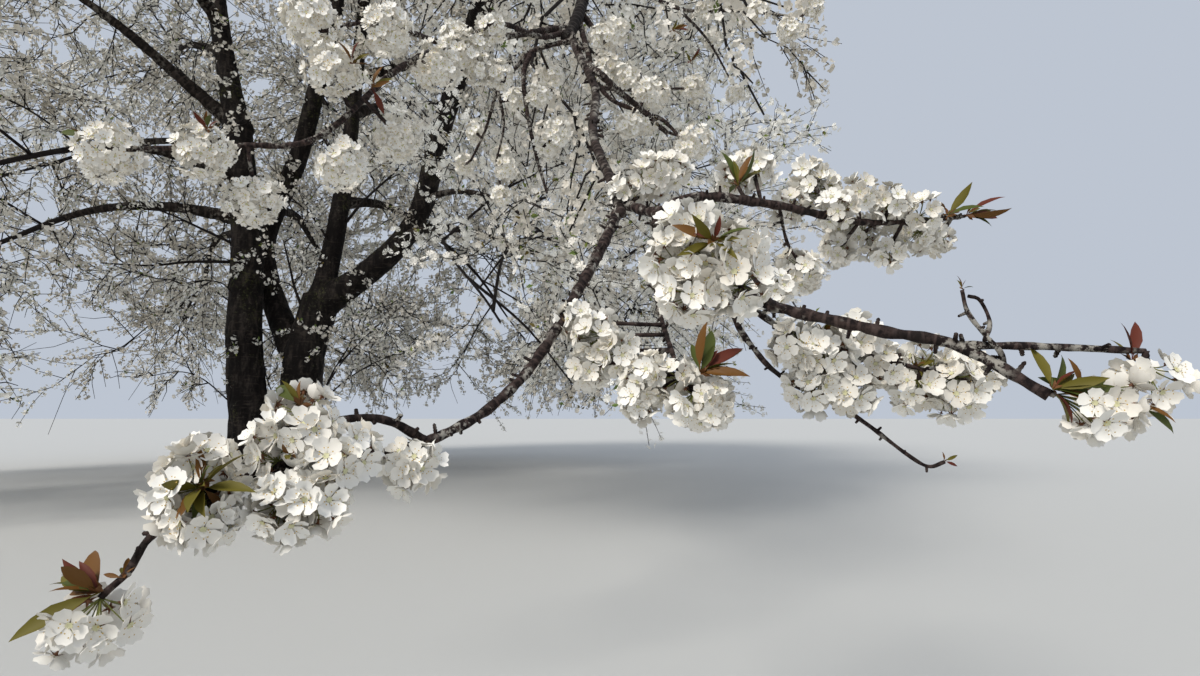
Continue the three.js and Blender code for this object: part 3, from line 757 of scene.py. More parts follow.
def grow_mass(mass):
    """Side twigs leave the spine round a golden angle. Each has a knee, and sags beyond it."""
    roll = dice(mass.seed)
    mass.twigs = []
    turn = 360 * roll()
    for k in range(TWIGS_PER_MASS):
        along = (k + 0.35 + 0.3 * roll()) / TWIGS_PER_MASS
        share = mass.start + (1 - mass.start) * along
        angle = math.radians(TWIG_ANGLE + 16 * (roll() - 0.5))
        length = TWIG_LENGTH * (1 - 0.5 * along) * (0.85 + 0.3 * roll())
        turn += GOLDEN_ANGLE
        forward = mass.course.heading_at(share)
        direction = forward * math.cos(angle) + across(forward, turn) * math.sin(angle)
        sagging = unit(direction - TWIG_DROOP * UP)
        root = mass.course.at(share)
        knee = root + direction * length / 2
        tip = knee + sagging * length / 2
        ends = {0: root, 0.5: knee, 1: tip}
        twig = legs_along(SimpleNamespace(at=ends.get), (0, 0.5, 1))
        balls = balls_along(twig, twig_radius, 0.1, 1, TWIG_BALLS)
        if tip[2] < LOWEST_SPRAY or in_bay(tip) or not space.is_free(*balls, mass.name, False):
            continue
        space.take(*balls, mass.name, False)
        sprays = grow_sprays(mass, twig, TWIG_SPRAYS, roll)
        mass.twigs.append(SimpleNamespace(share=share, places=(root, knee, tip), sprays=sprays))
    mass.crown = grow_sprays(mass, mass.course, SPINE_SPRAYS, roll)


for mass in masses:
    grow_mass(mass)

SIDE_TWIGS = 9
SPRAY_RADII = (0.009, 0.004)
SIDE_RADII = (0.0055, 0.003)
SPRAY_JOINTS = 6
FILLER_LENGTH = (0.5, 1.1)
FILLER_TWIGS = 6
# The third and darkest white is painted shade for blossom deep in the crown, and it goes to the fewest
# sprays.
SHADE_SHARES = (0.45, 0.33, 0.22)  # how many sprays have each white
GROUPS = {
    "low_left": ("left_low", "front_left_low", "left_mid", "back_left_low"),
    "low_back": ("back_low", "back_right_low", "right_low"),
    "low_front": ("right_front_low", "right_front_mid"),
    "middle_left": ("left_front", "back_left_mid", "back_mid"),
    "middle_right": ("back_right_mid", "right_mid", "right_front_high"),
    "middle_front": ("front_high", "front_left_high"),
    "top": ("left_top", "front_top", "back_top", "right_top"),
    "crests": ("left_crest", "middle_crest", "right_crest"),
}


def smooth_course(places):
    """One smooth course through some places, by cubic legs."""
    places = np.asarray(places, float)
    steps = np.linalg.norm(np.diff(places, axis=0), axis=1)
    ends = np.concatenate([[0], np.cumsum(steps)]) / steps.sum()
    before, after = 2 * places[0] - places[1], 2 * places[-1] - places[-2]
    padded = np.vstack([before, places, after])

    def at(share):
        leg = min(max(int(np.searchsorted(ends, share, side="right")) - 1, 0), len(steps) - 1)
        t = (share - ends[leg]) / (ends[leg + 1] - ends[leg])
        a, b, c, d = padded[leg : leg + 4]
        bend = (2 * a - 5 * b + 4 * c - d) * t**2 + (3 * b - a - 3 * c + d) * t**3
        return 0.5 * (2 * b + (c - a) * t + bend)

    return Course(at)


EYE = np.array(BAY[1])
EYE_ROOM = 0.2  # radius that stays free at the eye
SIGHT_END = 0.97  # share of a line of sight up to which it stays free
VIEWS = [  # places that stay in sight, and the radius that stays free there
    ((0.9, -0.1, 3.3), 0.8), ((-1.0, -0.3, 4.6), 0.35), ((1.82, 3.4, 2.8), 0.75),
    ((1.07, 3.4, 1.47), 0.75), ((-4.73, 3.4, 1.57), 0.75), ((-3.16, 3.4, 1.47), 0.6),
    ((-4.86, 2.4, 2.5), 0.35),
]
SEEN = {  # great boughs that stay in sight, and the radius that stays free there
    "left_low": 0.32, "front_left_low": 0.32, "left_mid": 0.32, "left_front": 0.32,
    "right": 0.38, "right_front_low": 0.28, "right_front_mid": 0.28,
}
for name, radius in SEEN.items():
    for share in (0.1, 0.2, 0.3, 0.4, 0.5, 0.6):
        VIEWS.append((limbs["bough_" + name].course.at(share), radius))


def in_view(place):
    """Whether a place would hide a view: it stands between the eye and something to be seen."""
    for centre, radius in VIEWS:
        sight = np.array(centre) - EYE
        share = (place - EYE) @ sight / (sight @ sight)
        aside = np.linalg.norm(EYE + sight * share - place)
        if 0 < share < SIGHT_END and aside < between((EYE_ROOM, radius), share):
            return True
    return False


def place_on(line, measures, where):
    """The place or places on a line of points where its measure has some value."""
    return np.stack([np.interp(where, measures, line[:, axis]) for axis in range(3)], -1)


class Branchlets:
    """The fine wood of one group of masses, and the places on it where blossom stands.

    spacing and radius are those of the bunches. sag and sway bend the sprays.
    """

    def __init__(
        self, seed, spacing=0.108, radius=0.045, sag=0.1, thickness=1.0, sway=0.06, joints=3
    ):
        self.spacing, self.radius, self.sag = spacing, radius, sag
        self.thickness, self.sway, self.joints = thickness, sway, joints
        self.wood = Heap()
        self.draw = np.random.default_rng(seed)
        self.centres, self.radii, self.shades = [], [], []

    def blossom_on(self, line, first, shade):
        """Puts balls of blossom along a line, each a little to one side of it."""
        steps = np.linalg.norm(np.diff(line, axis=0), axis=1)
        distance = np.concatenate([[0], np.cumsum(steps)])
        count = int((distance[-1] * (1 - first)) / self.spacing + 0.5)
        if not count:
            return
        where = distance[-1] * first + (np.arange(count) + self.draw.random(count)) * self.spacing
        places = place_on(line, distance, where)
        aside = units(self.draw.normal(size=(count, 3)))
        self.centres.append(places + aside * self.draw.uniform(0.008, 0.04, (count, 1)))
        self.radii.append(self.radius * self.draw.uniform(0.75, 1.25, count))
        self.shades.append(np.full(count, shade))

    def spray(self, root, direction, size, turn, side_twigs):
        """A twig that sags a little, with finer twigs to both sides of it."""
        draw = self.draw
        length, width = size
        side = across(direction, turn)
        third = np.cross(side, direction)
        shade = draw.choice(3, p=SHADE_SHARES)
        shares = np.linspace(0, 1, SPRAY_JOINTS)[:, None]
        bends = 7 * shares + 6.3 * draw.random(2)
        sway = (side * np.sin(bends[:, :1]) + third * np.sin(bends[:, 1:])) * self.sway
        sag = UP * self.sag * shares**2
        line = root + (direction * shares - sag + sway - sway[0]) * length
        self.wood.add(tube(line, np.linspace(*SPRAY_RADII, SPRAY_JOINTS) * self.thickness, 3))
        self.blossom_on(line, 0.2, shade)
        for k in range(side_twigs):
            share = 0.16 + 0.74 * (k + 0.7 * draw.random()) / side_twigs
            foot = place_on(line, shares[:, 0], share)
            round_it = math.pi * (k % 2) + draw.uniform(-0.9, 0.9)
            out = side * math.cos(round_it) + third * math.sin(round_it)
            reach = min(width * share / 0.28, width * (1 - share) / 0.8) + 0.08
            reach *= draw.uniform(0.75, 1.25)
            lean = draw.uniform(0.6, 1.0)
            heads = direction * math.cos(lean) + out * math.sin(lean)
            parts = np.linspace(0, 1, self.joints)[:, None]
            curl = across(heads, 360 * draw.random()) * 0.09 * np.sin(5 * parts)
            twig = foot + (heads * parts + (0.12 * direction - 0.12 * UP) * parts**2 + curl) * reach
            self.wood.add(tube(twig, np.linspace(*SIDE_RADII, self.joints) * self.thickness, 3))
            bare = k % 4 == 2 and self.joints <= 3  # one in four, where the side twigs are plain
            if not bare:
                self.blossom_on(twig, 0.1, shade)

    def fillers(self, course, first, last, spacing, scale=1.0, anywhere=False):
        """Shorter sprays along a course, round it by the golden angle."""
        turn = 360 * self.draw.random()
        count = int((last - first) * course.length / spacing)
        for k in range(count):
            share = first + (last - first) * (k + self.draw.random()) / count
            turn += GOLDEN_ANGLE
            along = course.heading_at(share)
            lean = self.draw.uniform(0.7, 1.1)
            direction = along * math.cos(lean) + across(along, turn) * math.sin(lean)
            length = scale * self.draw.uniform(*FILLER_LENGTH)
            root = course.at(share)
            tip = root + direction * length
            middle = root + direction * length / 2
            blocks = in_bay(tip) or in_bay(middle) or in_view(tip) or in_view(middle)
            if not anywhere and (blocks or tip[2] < LOWEST_SPRAY):
                continue
            size = (length, 0.55 * length)
            self.spray(root, direction, size, 360 * self.draw.random(), FILLER_TWIGS)


crown_twig = Finish("crown_twig", (0.013, 0.009, 0.008), 0.8, 0.3).material
branchlets, nodes_of = {}, {}


def set_twigs(group, nodes):
    """Makes the twigs of a group one piece, which stands for some nodes."""
    nodes_of[group] = nodes
    twigs = branchlets[group].wood.piece("twigs_" + group, [crown_twig])
    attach(twigs, "root")
    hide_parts(*nodes)


# The low front hangs in loose, slender sprays. The other groups are denser.
DENSE = SimpleNamespace(on_spine=0.4, on_twigs=0.5, side_twigs=SIDE_TWIGS, wood={})
AIRY = SimpleNamespace(
    on_spine=0.6, on_twigs=0.7, side_twigs=6,
    wood=dict(spacing=0.072, radius=0.033, sag=0.24, thickness=0.65, sway=0.09, joints=5),
)
WOOD_END = 0.97  # share of a spine up to which sprays grow from it
feet, feet_of = [], []  # places on the wood from which a spray may grow, and their groups
for index, (group, names) in enumerate(GROUPS.items()):
    growth = AIRY if group == "low_front" else DENSE
    grown = Branchlets(401 + index, **growth.wood)
    branchlets[group] = grown
    for mass in masses:
        if mass.name not in names:
            continue
        limb = limbs.get("bough_" + mass.name)
        places, shares = mass.bend.places(mass.start, 1.0, 0.1)
        radii = [mass.radius_at(share) for share in shares]
        grown.wood.add(tube(places, radii, 7))
        grown.fillers(mass.bend, mass.start, WOOD_END, growth.on_spine)
        if limb:
            grown.fillers(mass.bend, 0.3 * ARM_SPLIT, ARM_SPLIT, growth.on_spine, 0.9)
        feet += list(mass.bend.places(0.12 if limb else 0.0, WOOD_END, 0.1)[0])
        for twig in mass.twigs:
            _, knee, tip = twig.places
            course = smooth_course([mass.bend.at(twig.share), knee, tip])
            line, parts = course.places(0.0, 1.0, 0.12)
            grown.wood.add(tube(line, twig_radius(parts), 5))
            grown.fillers(course, 0.2, 0.95, growth.on_twigs, 0.85)
            feet += list(line)
            for spray in twig.sprays:
                root = course.at(spray.share)
                grown.spray(root, spray.direction, spray.size, spray.turn, growth.side_twigs)
        for spray in mass.crown:
            root = mass.bend.at(spray.share)
            grown.spray(root, spray.direction, spray.size, spray.turn, SIDE_TWIGS)
    feet_of += [group] * (len(feet) - len(feet_of))


def tree_of(places):
    """A search tree for the nearest of some places."""
    found = kdtree.KDTree(len(places))
    for index, place in enumerate(places):
        found.insert(place, index)
    found.balance()
    return found


# Where room is left between the sprays of the crown, one more grows into it from the nearest wood.
ROOM = (0.3, 0.4)  # free distance round the end of such a spray, low and high in the crown
HIGH = 6.5  # height from which the second one holds
ROUNDS = 6
TRIES = 2500  # places tried in a round
SCATTER = 0.45  # about how far they lie from the blossom that is there
REACH = 1.3  # greatest distance from the wood
LOWEST_END = 0.95
INSET = 0.2  # distance that the ends keep from the sides of the tree's box
ROOM_TWIGS = 7
feet_tree = tree_of(feet)
room_draw = np.random.default_rng(430)
low, high = np.array(cad_box)
for _ in range(ROUNDS):
    centres = np.concatenate([part for grown in branchlets.values() for part in grown.centres])
    taken_tree = tree_of(centres)
    tries = centres[room_draw.integers(len(centres), size=TRIES)]
    tries = tries + room_draw.normal(scale=SCATTER, size=tries.shape)
    ends = []
    for place in tries:
        room = ROOM[0] if place[2] < HIGH else ROOM[1]
        foot, index, away = feet_tree.find(place)
        if away > REACH or taken_tree.find(place)[2] < room or place[2] < LOWEST_END:
            continue
        if in_bay(place) or in_view(place):
            continue
        if np.any(place <= low + INSET) or np.any(place >= high - INSET):
            continue
        if ends and np.linalg.norm(np.array(ends) - place, axis=1).min() < 2 * room:
            continue
        ends.append(place)
        grown = branchlets[feet_of[index]]
        foot = np.array(foot)
        size = (away + 0.2, 0.5 * away + 0.1)
        grown.spray(foot, unit(place - foot), size, 360 * room_draw.random(), ROOM_TWIGS)
for group, names in GROUPS.items():
    set_twigs(group, ["mass_" + name for name in names])

# Thin shoots on the stems and small low boughs between the great ones, with a little blossom, and the
# drooping side twigs of the long front bough. All grow straight from the wood that carries them.
SHOOTS = [
    ((0.012, 0.004), [(0.5, 0.05, 0.85), (0.69, -0.05, 1.21), (0.9, -0.15, 1.5), (1.06, -0.25, 1.8),
                      (1.18, -0.3, 2.04)]),
    ((0.012, 0.004), [(0.5, 0.05, 0.9), (0.81, -0.1, 1.32), (1.2, -0.3, 1.65), (1.58, -0.5, 1.89)]),
    ((0.01, 0.004), [(0.48, 0.05, 0.8), (0.82, -0.15, 1.06), (1.21, -0.4, 1.25), (1.61, -0.6, 1.38)]),
    ((0.022, 0.008), [(0.38, 0.05, 1.7), (0.22, -0.05, 2.13), (0.16, -0.1, 2.4), (0.09, -0.15, 2.71)]),
    ((0.011, 0.004), [(0.2, 0.1, 0.6), (-0.01, 0, 0.98), (-0.09, -0.05, 1.25), (-0.16, -0.1, 1.57)]),
    ((0.02, 0.007), [(-0.5, -0.1, 2.47), (-0.8, -0.4, 2.4), (-1.07, -0.65, 2.3), (-1.41, -0.9, 2.27)]),
    ((0.018, 0.006), [(-0.5, -0.1, 2.68), (-0.78, -0.3, 2.81), (-1, -0.5, 2.91), (-1.2, -0.7, 2.95)]),
    ((0.01, 0.004), [(-0.34, -0.15, 1.9), (-0.39, -0.4, 2.13), (-0.5, -0.6, 2.15), (-0.64, -0.8, 2.07)]),
    ((0.018, 0.006), [(0.62, 0.1, 2.55), (0.46, -0.1, 2.91), (0.28, -0.2, 3.11), (0.11, -0.3, 3.25)]),
    ((0.02, 0.007), [(0.7, 0.1, 3.0), (1.02, -0.15, 3.21), (1.35, -0.3, 3.43), (1.66, -0.5, 3.64)]),
    ((0.01, 0.004), [(-0.35, -0.1, 0.8), (-0.61, -0.3, 1.1), (-0.76, -0.5, 1.18), (-0.94, -0.7, 1.12)]),
]
grown = Branchlets(421, spacing=0.08, radius=0.03, sag=0.24)
branchlets["stems"] = grown
for radii, places in SHOOTS:
    course = smooth_course(places)
    line, parts = course.places(0.0, 1.0, 0.08)
    grown.wood.add(tube(line, between(radii, parts), 6))
    grown.fillers(course, 0.35, 1.0, spacing=0.13, scale=0.65, anywhere=True)
set_twigs("stems", ["stem_left", "stem_middle", "stem_right"])

grown = Branchlets(422, spacing=0.17, radius=0.065, sag=0.35, thickness=1.1, sway=0.13, joints=4)
branchlets["overhead"] = grown
grown.fillers(limbs["bough_overhead"].course, 0.3, 0.96, spacing=0.17, scale=0.95)
set_twigs("overhead", ["bough_overhead"])

# The blossom of the crown: thousands of cream white flowers in small round bunches close to their
# twigs, larger than life so that their number stays low. Those low at the front, on the stems and on
# the bough overhead have five petals each. The others have five corners and are folded in three.
FLOWER = 0.024  # radius of a flower in the crown
FLOWER_RANGE = (0.82, 1.12)
BUNCH = 4  # flowers in a bunch
BUNCH_FILL = 0.65  # distance of its flowers from its middle, as a share of its radius
# The first two whites are the petals' own colour, one cooler and one warmer. The third, darkest one is
# painted shade for blossom in the shaded crown.
WHITES = [(0.92, 0.9, 0.83), (0.86, 0.82, 0.74), (0.72, 0.67, 0.58)]  # each spray has one of them
FULL_TURN = 6.28
ASKEW = (0.31, 0.17, 0.94)  # a direction that no twig is likely to have


def star(half_angle, rise, tip=0.0):
    """A flower as five petals, each a triangle from the heart to its broad end, or a kite."""
    points, faces = [(0, 0, 0)], []
    shoulder = 0.75 if tip else 1.0
    for k in range(5):
        start = len(points)
        for edge in (-half_angle, half_angle):
            turn = math.radians(72 * k + edge)
            points.append((shoulder * math.cos(turn), shoulder * math.sin(turn), rise * shoulder))
        faces.append((0, start, start + 1))
        if tip:
            turn = math.radians(72 * k)
            points.append((tip * math.cos(turn), tip * math.sin(turn), rise * tip))
            faces.append((start, start + 2, start + 1))
    return np.array(points), np.array(faces)


def across_all(axes):
    """Two unit vectors across each axis."""
    level = units(np.cross(axes, ASKEW))
    return level, np.cross(axes, level)


def copies(shape, places, axes, spins, sizes, cups=1.0):
    """Copies of a small shape, each turned so that its own Z follows an axis."""
    template, faces = shape
    level, third = across_all(axes)
    cos, sin = np.cos(spins)[:, None], np.sin(spins)[:, None]
    sizes = np.broadcast_to(sizes, len(places))[:, None]
    cups = np.broadcast_to(cups, len(places))[:, None]
    turned = [level * cos + third * sin, third * cos - level * sin, axes * cups]
    basis = np.stack(turned, 1) * sizes[..., None]
    points = places[:, None] + template @ basis
    starts = np.arange(len(places))[:, None, None] * len(template)
    return points.reshape(-1, 3), (faces + starts).reshape(-1, 3)


def even_directions(count):
    """Directions spread evenly over a ball."""
    k = np.arange(count) + 0.5
    height = 1 - 2 * k / count
    turn = k * math.pi * (3 - math.sqrt(5))
    level = np.sqrt(1 - height**2)
    return np.stack([level * np.cos(turn), level * np.sin(turn), height], 1)


def random_turns(draw, count):
    """Random rotations, as matrices."""
    a, b, c, d = units(draw.normal(size=(count, 4))).T
    rows = [
        [1 - 2 * (c * c + d * d), 2 * (b * c - a * d), 2 * (b * d + a * c)],
        [2 * (b * c + a * d), 1 - 2 * (b * b + d * d), 2 * (c * d - a * b)],
        [2 * (b * d - a * c), 2 * (c * d + a * b), 1 - 2 * (b * b + c * c)],
    ]
    return np.moveaxis(np.array(rows), 2, 0)


def soft_finishes(name, colors):
    """One material for each colour of petals, stamens or young leaves. All are soft and matt."""
    return [Finish(f"{name}_{k}", color, 0.6, 0.25).material for k, color in enumerate(colors)]


# The materials of the crown's petals: two whites of their own, and one darker white that is painted
# shade.
crown_whites_and_painted_shade = soft_finishes("petal_white", WHITES)
corners = [(math.cos(turn), math.sin(turn)) for turn in np.radians(72) * np.arange(5)]
far_flower = (
    np.array([(*corners[k], rise) for k, rise in enumerate((0, 0.5, 0.1, 0.2, 0.6))]),
    np.array([(0, 1, 2), (0, 2, 3), (0, 3, 4)]),
)
SHAPES = {"low_front": star(28, 0.3), "stems": star(28, 0.3), "overhead": star(33, 0.3, 1.02)}
BUNCHES = {"low_front": 3, "stems": 3, "overhead": 18}  # flowers in a bunch, where not BUNCH
FLOWERS = {  # their radius, where not FLOWER
    "low_front": 0.021, "stems": 0.02, "overhead": 0.017, "top": 0.033, "crests": 0.035,
    "low_back": 0.026, "middle_right": 0.026,
}
for group, grown in branchlets.items():
    centres, radii = np.concatenate(grown.centres), np.concatenate(grown.radii)
    count = BUNCHES.get(group, BUNCH)
    shape = SHAPES.get(group, far_flower)
    out = even_directions(count) @ random_turns(grown.draw, len(centres))
    places = centres[:, None] + out * (radii * BUNCH_FILL)[:, None, None]
    out = out.reshape(-1, 3)
    sizes = FLOWERS.get(group, FLOWER) * grown.draw.uniform(*FLOWER_RANGE, len(out))
    spins = grown.draw.uniform(0, FULL_TURN, len(out))
    heap = Heap()
    shades = np.repeat(np.concatenate(grown.shades), len(shape[1]) * count)
    heap.add(copies(shape, places.reshape(-1, 3), out, spins, sizes), shades)
    flowers = heap.piece("blossom_" + group, crown_whites_and_painted_shade, smooth=False)
    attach(flowers, "root")
    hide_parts(*nodes_of[group])

# The first young leaves of the crown, just out of bud beside the bunches: folded along the midrib,
# thin, and yellow green to bronze.
LEAF_SHARE = 0.12  # share of the bunches that have leaves
LEAVES_PER_BUNCH = 2
LEAF_LENGTHS = (0.03, 0.055)
LEAF_COLORS = [(0.2, 0.24, 0.045), (0.17, 0.13, 0.035), (0.14, 0.2, 0.05)]
crown_leaf = (
    np.array([(0, 0, 0), (0.12, -0.24, 0.5), (0, 0, 1), (0.12, 0.24, 0.5)]),
    np.array([(0, 1, 2), (0, 2, 3)]),
)
crown_greens = soft_finishes("crown_leaf", LEAF_COLORS)
leaf_heap = Heap()
for group, grown in branchlets.items():
    centres = np.concatenate(grown.centres)
    radii = np.concatenate(grown.radii)
    chosen = grown.draw.random(len(centres)) < LEAF_SHARE
    for _ in range(LEAVES_PER_BUNCH):
        axes = units(grown.draw.normal(size=(chosen.sum(), 3)) + 0.6 * UP)
        places = centres[chosen] + axes * (radii[chosen] * 0.5)[:, None]
        sizes = grown.draw.uniform(*LEAF_LENGTHS, len(places))
        spins = grown.draw.uniform(0, FULL_TURN, len(places))
        shades = np.repeat(grown.draw.integers(0, 3, len(places)), 2)
        leaf_heap.add(copies(crown_leaf, places, axes, spins, sizes), shades)
crown_leaves = leaf_heap.piece("crown_leaves", crown_greens, smooth=False)
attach(crown_leaves, "root")
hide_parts(*["mass_" + mass.name for mass in masses])

# The near twigs of the long front bough: thin reddish brown wood with corky rings, grey lichen and
# the knobs of old spurs. The twigs start inside their limb, and a spur carries each bunch that hangs
# clear of its twig.
MORE_RIGHT = [  # smaller bunches between the others
    (4.103, -6.55, 1.009), (4.193, -6.53, 1.023), (4.284, -6.51, 0.99), (4.186, -6.54, 0.961),
    (4.097, -6.56, 0.956), (4.054, -6.56, 1.08), (4.02, -6.57, 1.027), (3.923, -6.62, 1.05),
    (3.969, -6.64, 0.879), (3.93, -6.87, 0.77), (3.999, -6.86, 0.779), (3.994, -6.86, 0.719),
    (4.033, -6.85, 0.753), (3.952, -6.86, 0.726), (4.071, -6.85, 0.723), (4.144, -6.84, 0.735),
    (4.094, -6.84, 0.754), (4.21, -7.0, 0.725), (3.704, -6.71, 0.756), (3.687, -6.7, 0.82),
    (3.741, -6.72, 0.777), (3.809, -6.75, 0.741), (3.768, -6.74, 0.715), (3.858, -6.76, 0.712),
    (3.8, -6.99, 0.863), (3.841, -7.0, 0.845), (3.843, -7.0, 0.811), (3.801, -7.0, 0.801),
    (3.784, -6.99, 0.835), (3.763, -6.55, 1.055), (3.838, -6.55, 1.093), (4.117, -6.6, 1.035),
    (4.166, -6.6, 1.02), (4.22, -6.59, 1.008), (4.075, -6.62, 1.005),
]
NEAR_SPRAYS = [
    dict(name="spray_near_left", on="limb_near", share=0.985, cluster=0.037, twigs=[
        ((0.009, 0.003), [(3.7, -6.65, 0.9), (3.62, -6.77, 0.74), (3.53, -6.87, 0.665),
                          (3.4, -6.99, 0.638), (3.349, -6.99, 0.606), (3.336, -7.02, 0.589),
                          (3.337, -7.045, 0.567), (3.326, -7.055, 0.552)]),
        ((0.005, 0.003), [(3.53, -6.87, 0.665), (3.49, -6.92, 0.69), (3.43, -6.99, 0.68)]),
    ], clusters=[
        (3.52, -6.9, 0.645), (3.445, -6.97, 0.675), (3.44, -6.99, 0.617), (3.381, -7.025, 0.616),
        (3.37, -7.025, 0.632), (3.305, -7.05, 0.525)], more=[
        (3.418, -6.98, 0.66), (3.468, -6.98, 0.643), (3.465, -6.99, 0.614), (3.44, -7.0, 0.608),
        (3.384, -7.025, 0.609), (3.375, -7.01, 0.648), (3.475, -6.96, 0.658), (3.43, -6.96, 0.7)]),
    dict(name="spray_near_right", on="limb_near", share=0.96, cluster=0.042, twigs=[
        ((0.009, 0.003), [(3.8, -6.62, 1.0), (3.86, -6.66, 1.01), (3.98, -6.65, 1.0),
                          (4.12, -6.6, 0.99), (4.27, -6.55, 1.01), (4.325, -6.52, 1.024)]),
        ((0.008, 0.005), [(3.8, -6.62, 1.0), (3.83, -6.75, 0.89), (3.87, -6.85, 0.83),
                          (3.99, -6.93, 0.78), (4.06, -6.96, 0.76), (4.12, -7.0, 0.71)]),
        ((0.004, 0.003), [(4.06, -6.96, 0.76), (4.13, -6.99, 0.755), (4.21, -7.0, 0.75)]),
        ((0.005, 0.003), [(3.8, -6.62, 1.0), (3.8, -6.65, 0.86), (3.82, -6.75, 0.74)]),
        ((0.004, 0.002), [(3.87, -6.85, 0.83), (3.92, -6.86, 0.79), (3.97, -6.87, 0.768),
                          (4.03, -6.86, 0.755), (4.09, -6.86, 0.74), (4.14, -6.85, 0.73)]),
        ((0.003, 0.002), [(3.98, -6.65, 1.0), (4.0, -6.62, 0.95), (4.03, -6.61, 0.91)]),
    ], clusters=[
        (3.8, -6.56, 1.075), (3.95, -6.62, 1.07), (4.07, -6.56, 1.055), (4.14, -6.54, 0.985),
        (4.24, -6.52, 0.99), (4.02, -6.61, 0.91), (3.815, -7.0, 0.835), (3.96, -6.87, 0.76),
        (4.11, -6.85, 0.725), (4.18, -7.0, 0.7), (3.71, -6.71, 0.8), (3.78, -6.74, 0.74),
        (3.84, -6.77, 0.71)], more=MORE_RIGHT),
    dict(name="spray_overhead_left", on="bough_overhead", share=0.98, cluster=0.072, twigs=[
        ((0.011, 0.005), [(3.5, -5.7, 1.85), (3.31, -5.9, 1.69), (3.23, -6.1, 1.51),
                          (3.12, -6.25, 1.28), (2.98, -6.3, 1.24), (2.8, -6.4, 1.19)]),
        ((0.008, 0.004), [(3.31, -5.9, 1.69), (3.2, -6.15, 1.6), (3.13, -6.28, 1.5)]),
    ], clusters=[
        (2.79, -6.39, 1.19), (2.94, -6.34, 1.21), (3.0, -6.26, 1.14), (3.16, -6.22, 1.23),
        (3.24, -6.1, 1.35), (3.17, -6.3, 1.4), (3.11, -6.29, 1.52), (3.24, -6.21, 1.55),
        (3.34, -5.92, 1.66), (3.31, -6.03, 1.56)]),
    dict(name="spray_overhead_right", on="bough_overhead", share=0.965, cluster=0.06, twigs=[
        ((0.011, 0.004), [(3.72, -5.65, 1.7), (3.84, -5.65, 1.62), (3.92, -5.61, 1.58),
                          (4.04, -5.6, 1.55)]),
        ((0.007, 0.004), [(3.72, -5.65, 1.7), (3.85, -5.56, 1.74), (4.03, -5.42, 1.82)]),
    ], clusters=[
        (3.8, -5.61, 1.76), (3.9, -5.54, 1.74), (4.02, -5.6, 1.55), (4.04, -5.42, 1.82),
        (3.85, -5.66, 1.59)]),
    dict(name="spray_overhead_far", on="bough_overhead", share=0.8, cluster=0.06, twigs=[
        ((0.013, 0.004), [(3.85, -4.85, 2.62), (4.05, -4.95, 2.42), (4.25, -5.15, 2.28),
                          (4.44, -5.36, 2.12)]),
        ((0.007, 0.004), [(4.05, -4.95, 2.42), (4.22, -4.7, 2.42), (4.4, -4.4, 2.35)]),
    ], clusters=[
        (4.3, -5.3, 2.18), (4.4, -5.35, 2.08), (4.47, -5.38, 2.15), (4.15, -5.08, 2.33),
        (4.25, -4.66, 2.45), (4.4, -4.4, 2.32)]),
]
MORE_SIZE = 0.033
HANGING = {  # open bunches at the ends of twigs, by their spray and their number in it
    ("spray_near_left", 5): dict(
        centre=(3.321, -7.06, 0.541), foot=(3.326, -7.055, 0.552), way=(0.15, -0.05, -1.0),
        flowers=26, size=0.036,
    ),
    ("spray_near_right", 9): dict(
        centre=(4.155, -7.005, 0.703), foot=(4.117, -7.0, 0.713), way=(0.7, -0.4, -0.6),
        flowers=34, size=0.036,
    ),
}
NEAR = ("spray_near_left", "spray_near_right")
OVERHEAD = [  # twigs that droop from the front bough, with their bunches
    dict(name="bough_overhead", on="limb_near", share=0.05, cluster=0.045, twigs=[
        ((0.008, 0.004), [(3.55, -5.62, 1.855), (3.494, -5.6, 1.845), (3.435, -5.58, 1.79),
                          (3.386, -5.55, 1.746), (3.33, -5.45, 1.655), (3.275, -5.4, 1.57)]),
        ((0.009, 0.004), [(3.5, -5.6, 1.85), (3.48, -5.65, 1.73), (3.518, -5.7, 1.502),
                          (3.565, -5.75, 1.331)]),
        ((0.006, 0.003), [(3.386, -5.55, 1.746), (3.4, -5.5, 1.65), (3.37, -5.45, 1.55)]),
    ], clusters=[
        (3.557, -5.54, 1.8), (3.287, -5.4, 1.67), (3.238, -5.32, 1.584), (3.38, -5.42, 1.577),
        (3.41, -5.5, 1.5), (3.39, -5.46, 1.42), (3.6, -5.78, 1.5), (3.56, -5.72, 1.48),
        (3.53, -5.68, 1.66), (3.44, -5.54, 1.72)]),
    dict(name="bough_overhead", on="limb_near", share=0.22, cluster=0.05, twigs=[
        ((0.012, 0.007), [(3.72, -5.86, 1.63), (3.763, -5.8, 1.62), (3.837, -5.72, 1.6),
                          (3.922, -5.65, 1.555)]),
        ((0.008, 0.004), [(3.837, -5.7, 1.6), (3.91, -5.68, 1.58), (3.97, -5.7, 1.5)]),
    ], clusters=[(3.85, -5.7, 1.66), (3.976, -5.7, 1.49), (3.8, -5.72, 1.55)]),
    dict(name="bough_overhead", on="bough_overhead", share=0.955, cluster=0.055, twigs=[
        ((0.012, 0.004), [(3.7, -5.42, 2.03), (3.74, -5.5, 1.95), (3.737, -5.52, 1.86),
                          (3.71, -5.6, 1.74)]),
    ], clusters=[(3.73, -5.6, 1.9), (3.74, -5.58, 1.81), (3.71, -5.62, 1.74), (3.77, -5.5, 1.98)]),
    dict(name="bough_overhead", on="bough_overhead", share=0.985, cluster=0.05, twigs=[
        ((0.01, 0.005), [(3.54, -5.68, 1.85), (3.44, -5.86, 1.78), (3.36, -5.92, 1.7),
                          (3.27, -5.85, 1.68)]),
    ], clusters=[(3.378, -5.9, 1.694), (3.393, -5.9, 1.63), (3.324, -5.9, 1.72), (3.25, -5.82, 1.68),
                 (3.44, -5.88, 1.62), (3.42, -5.9, 1.74)]),
]
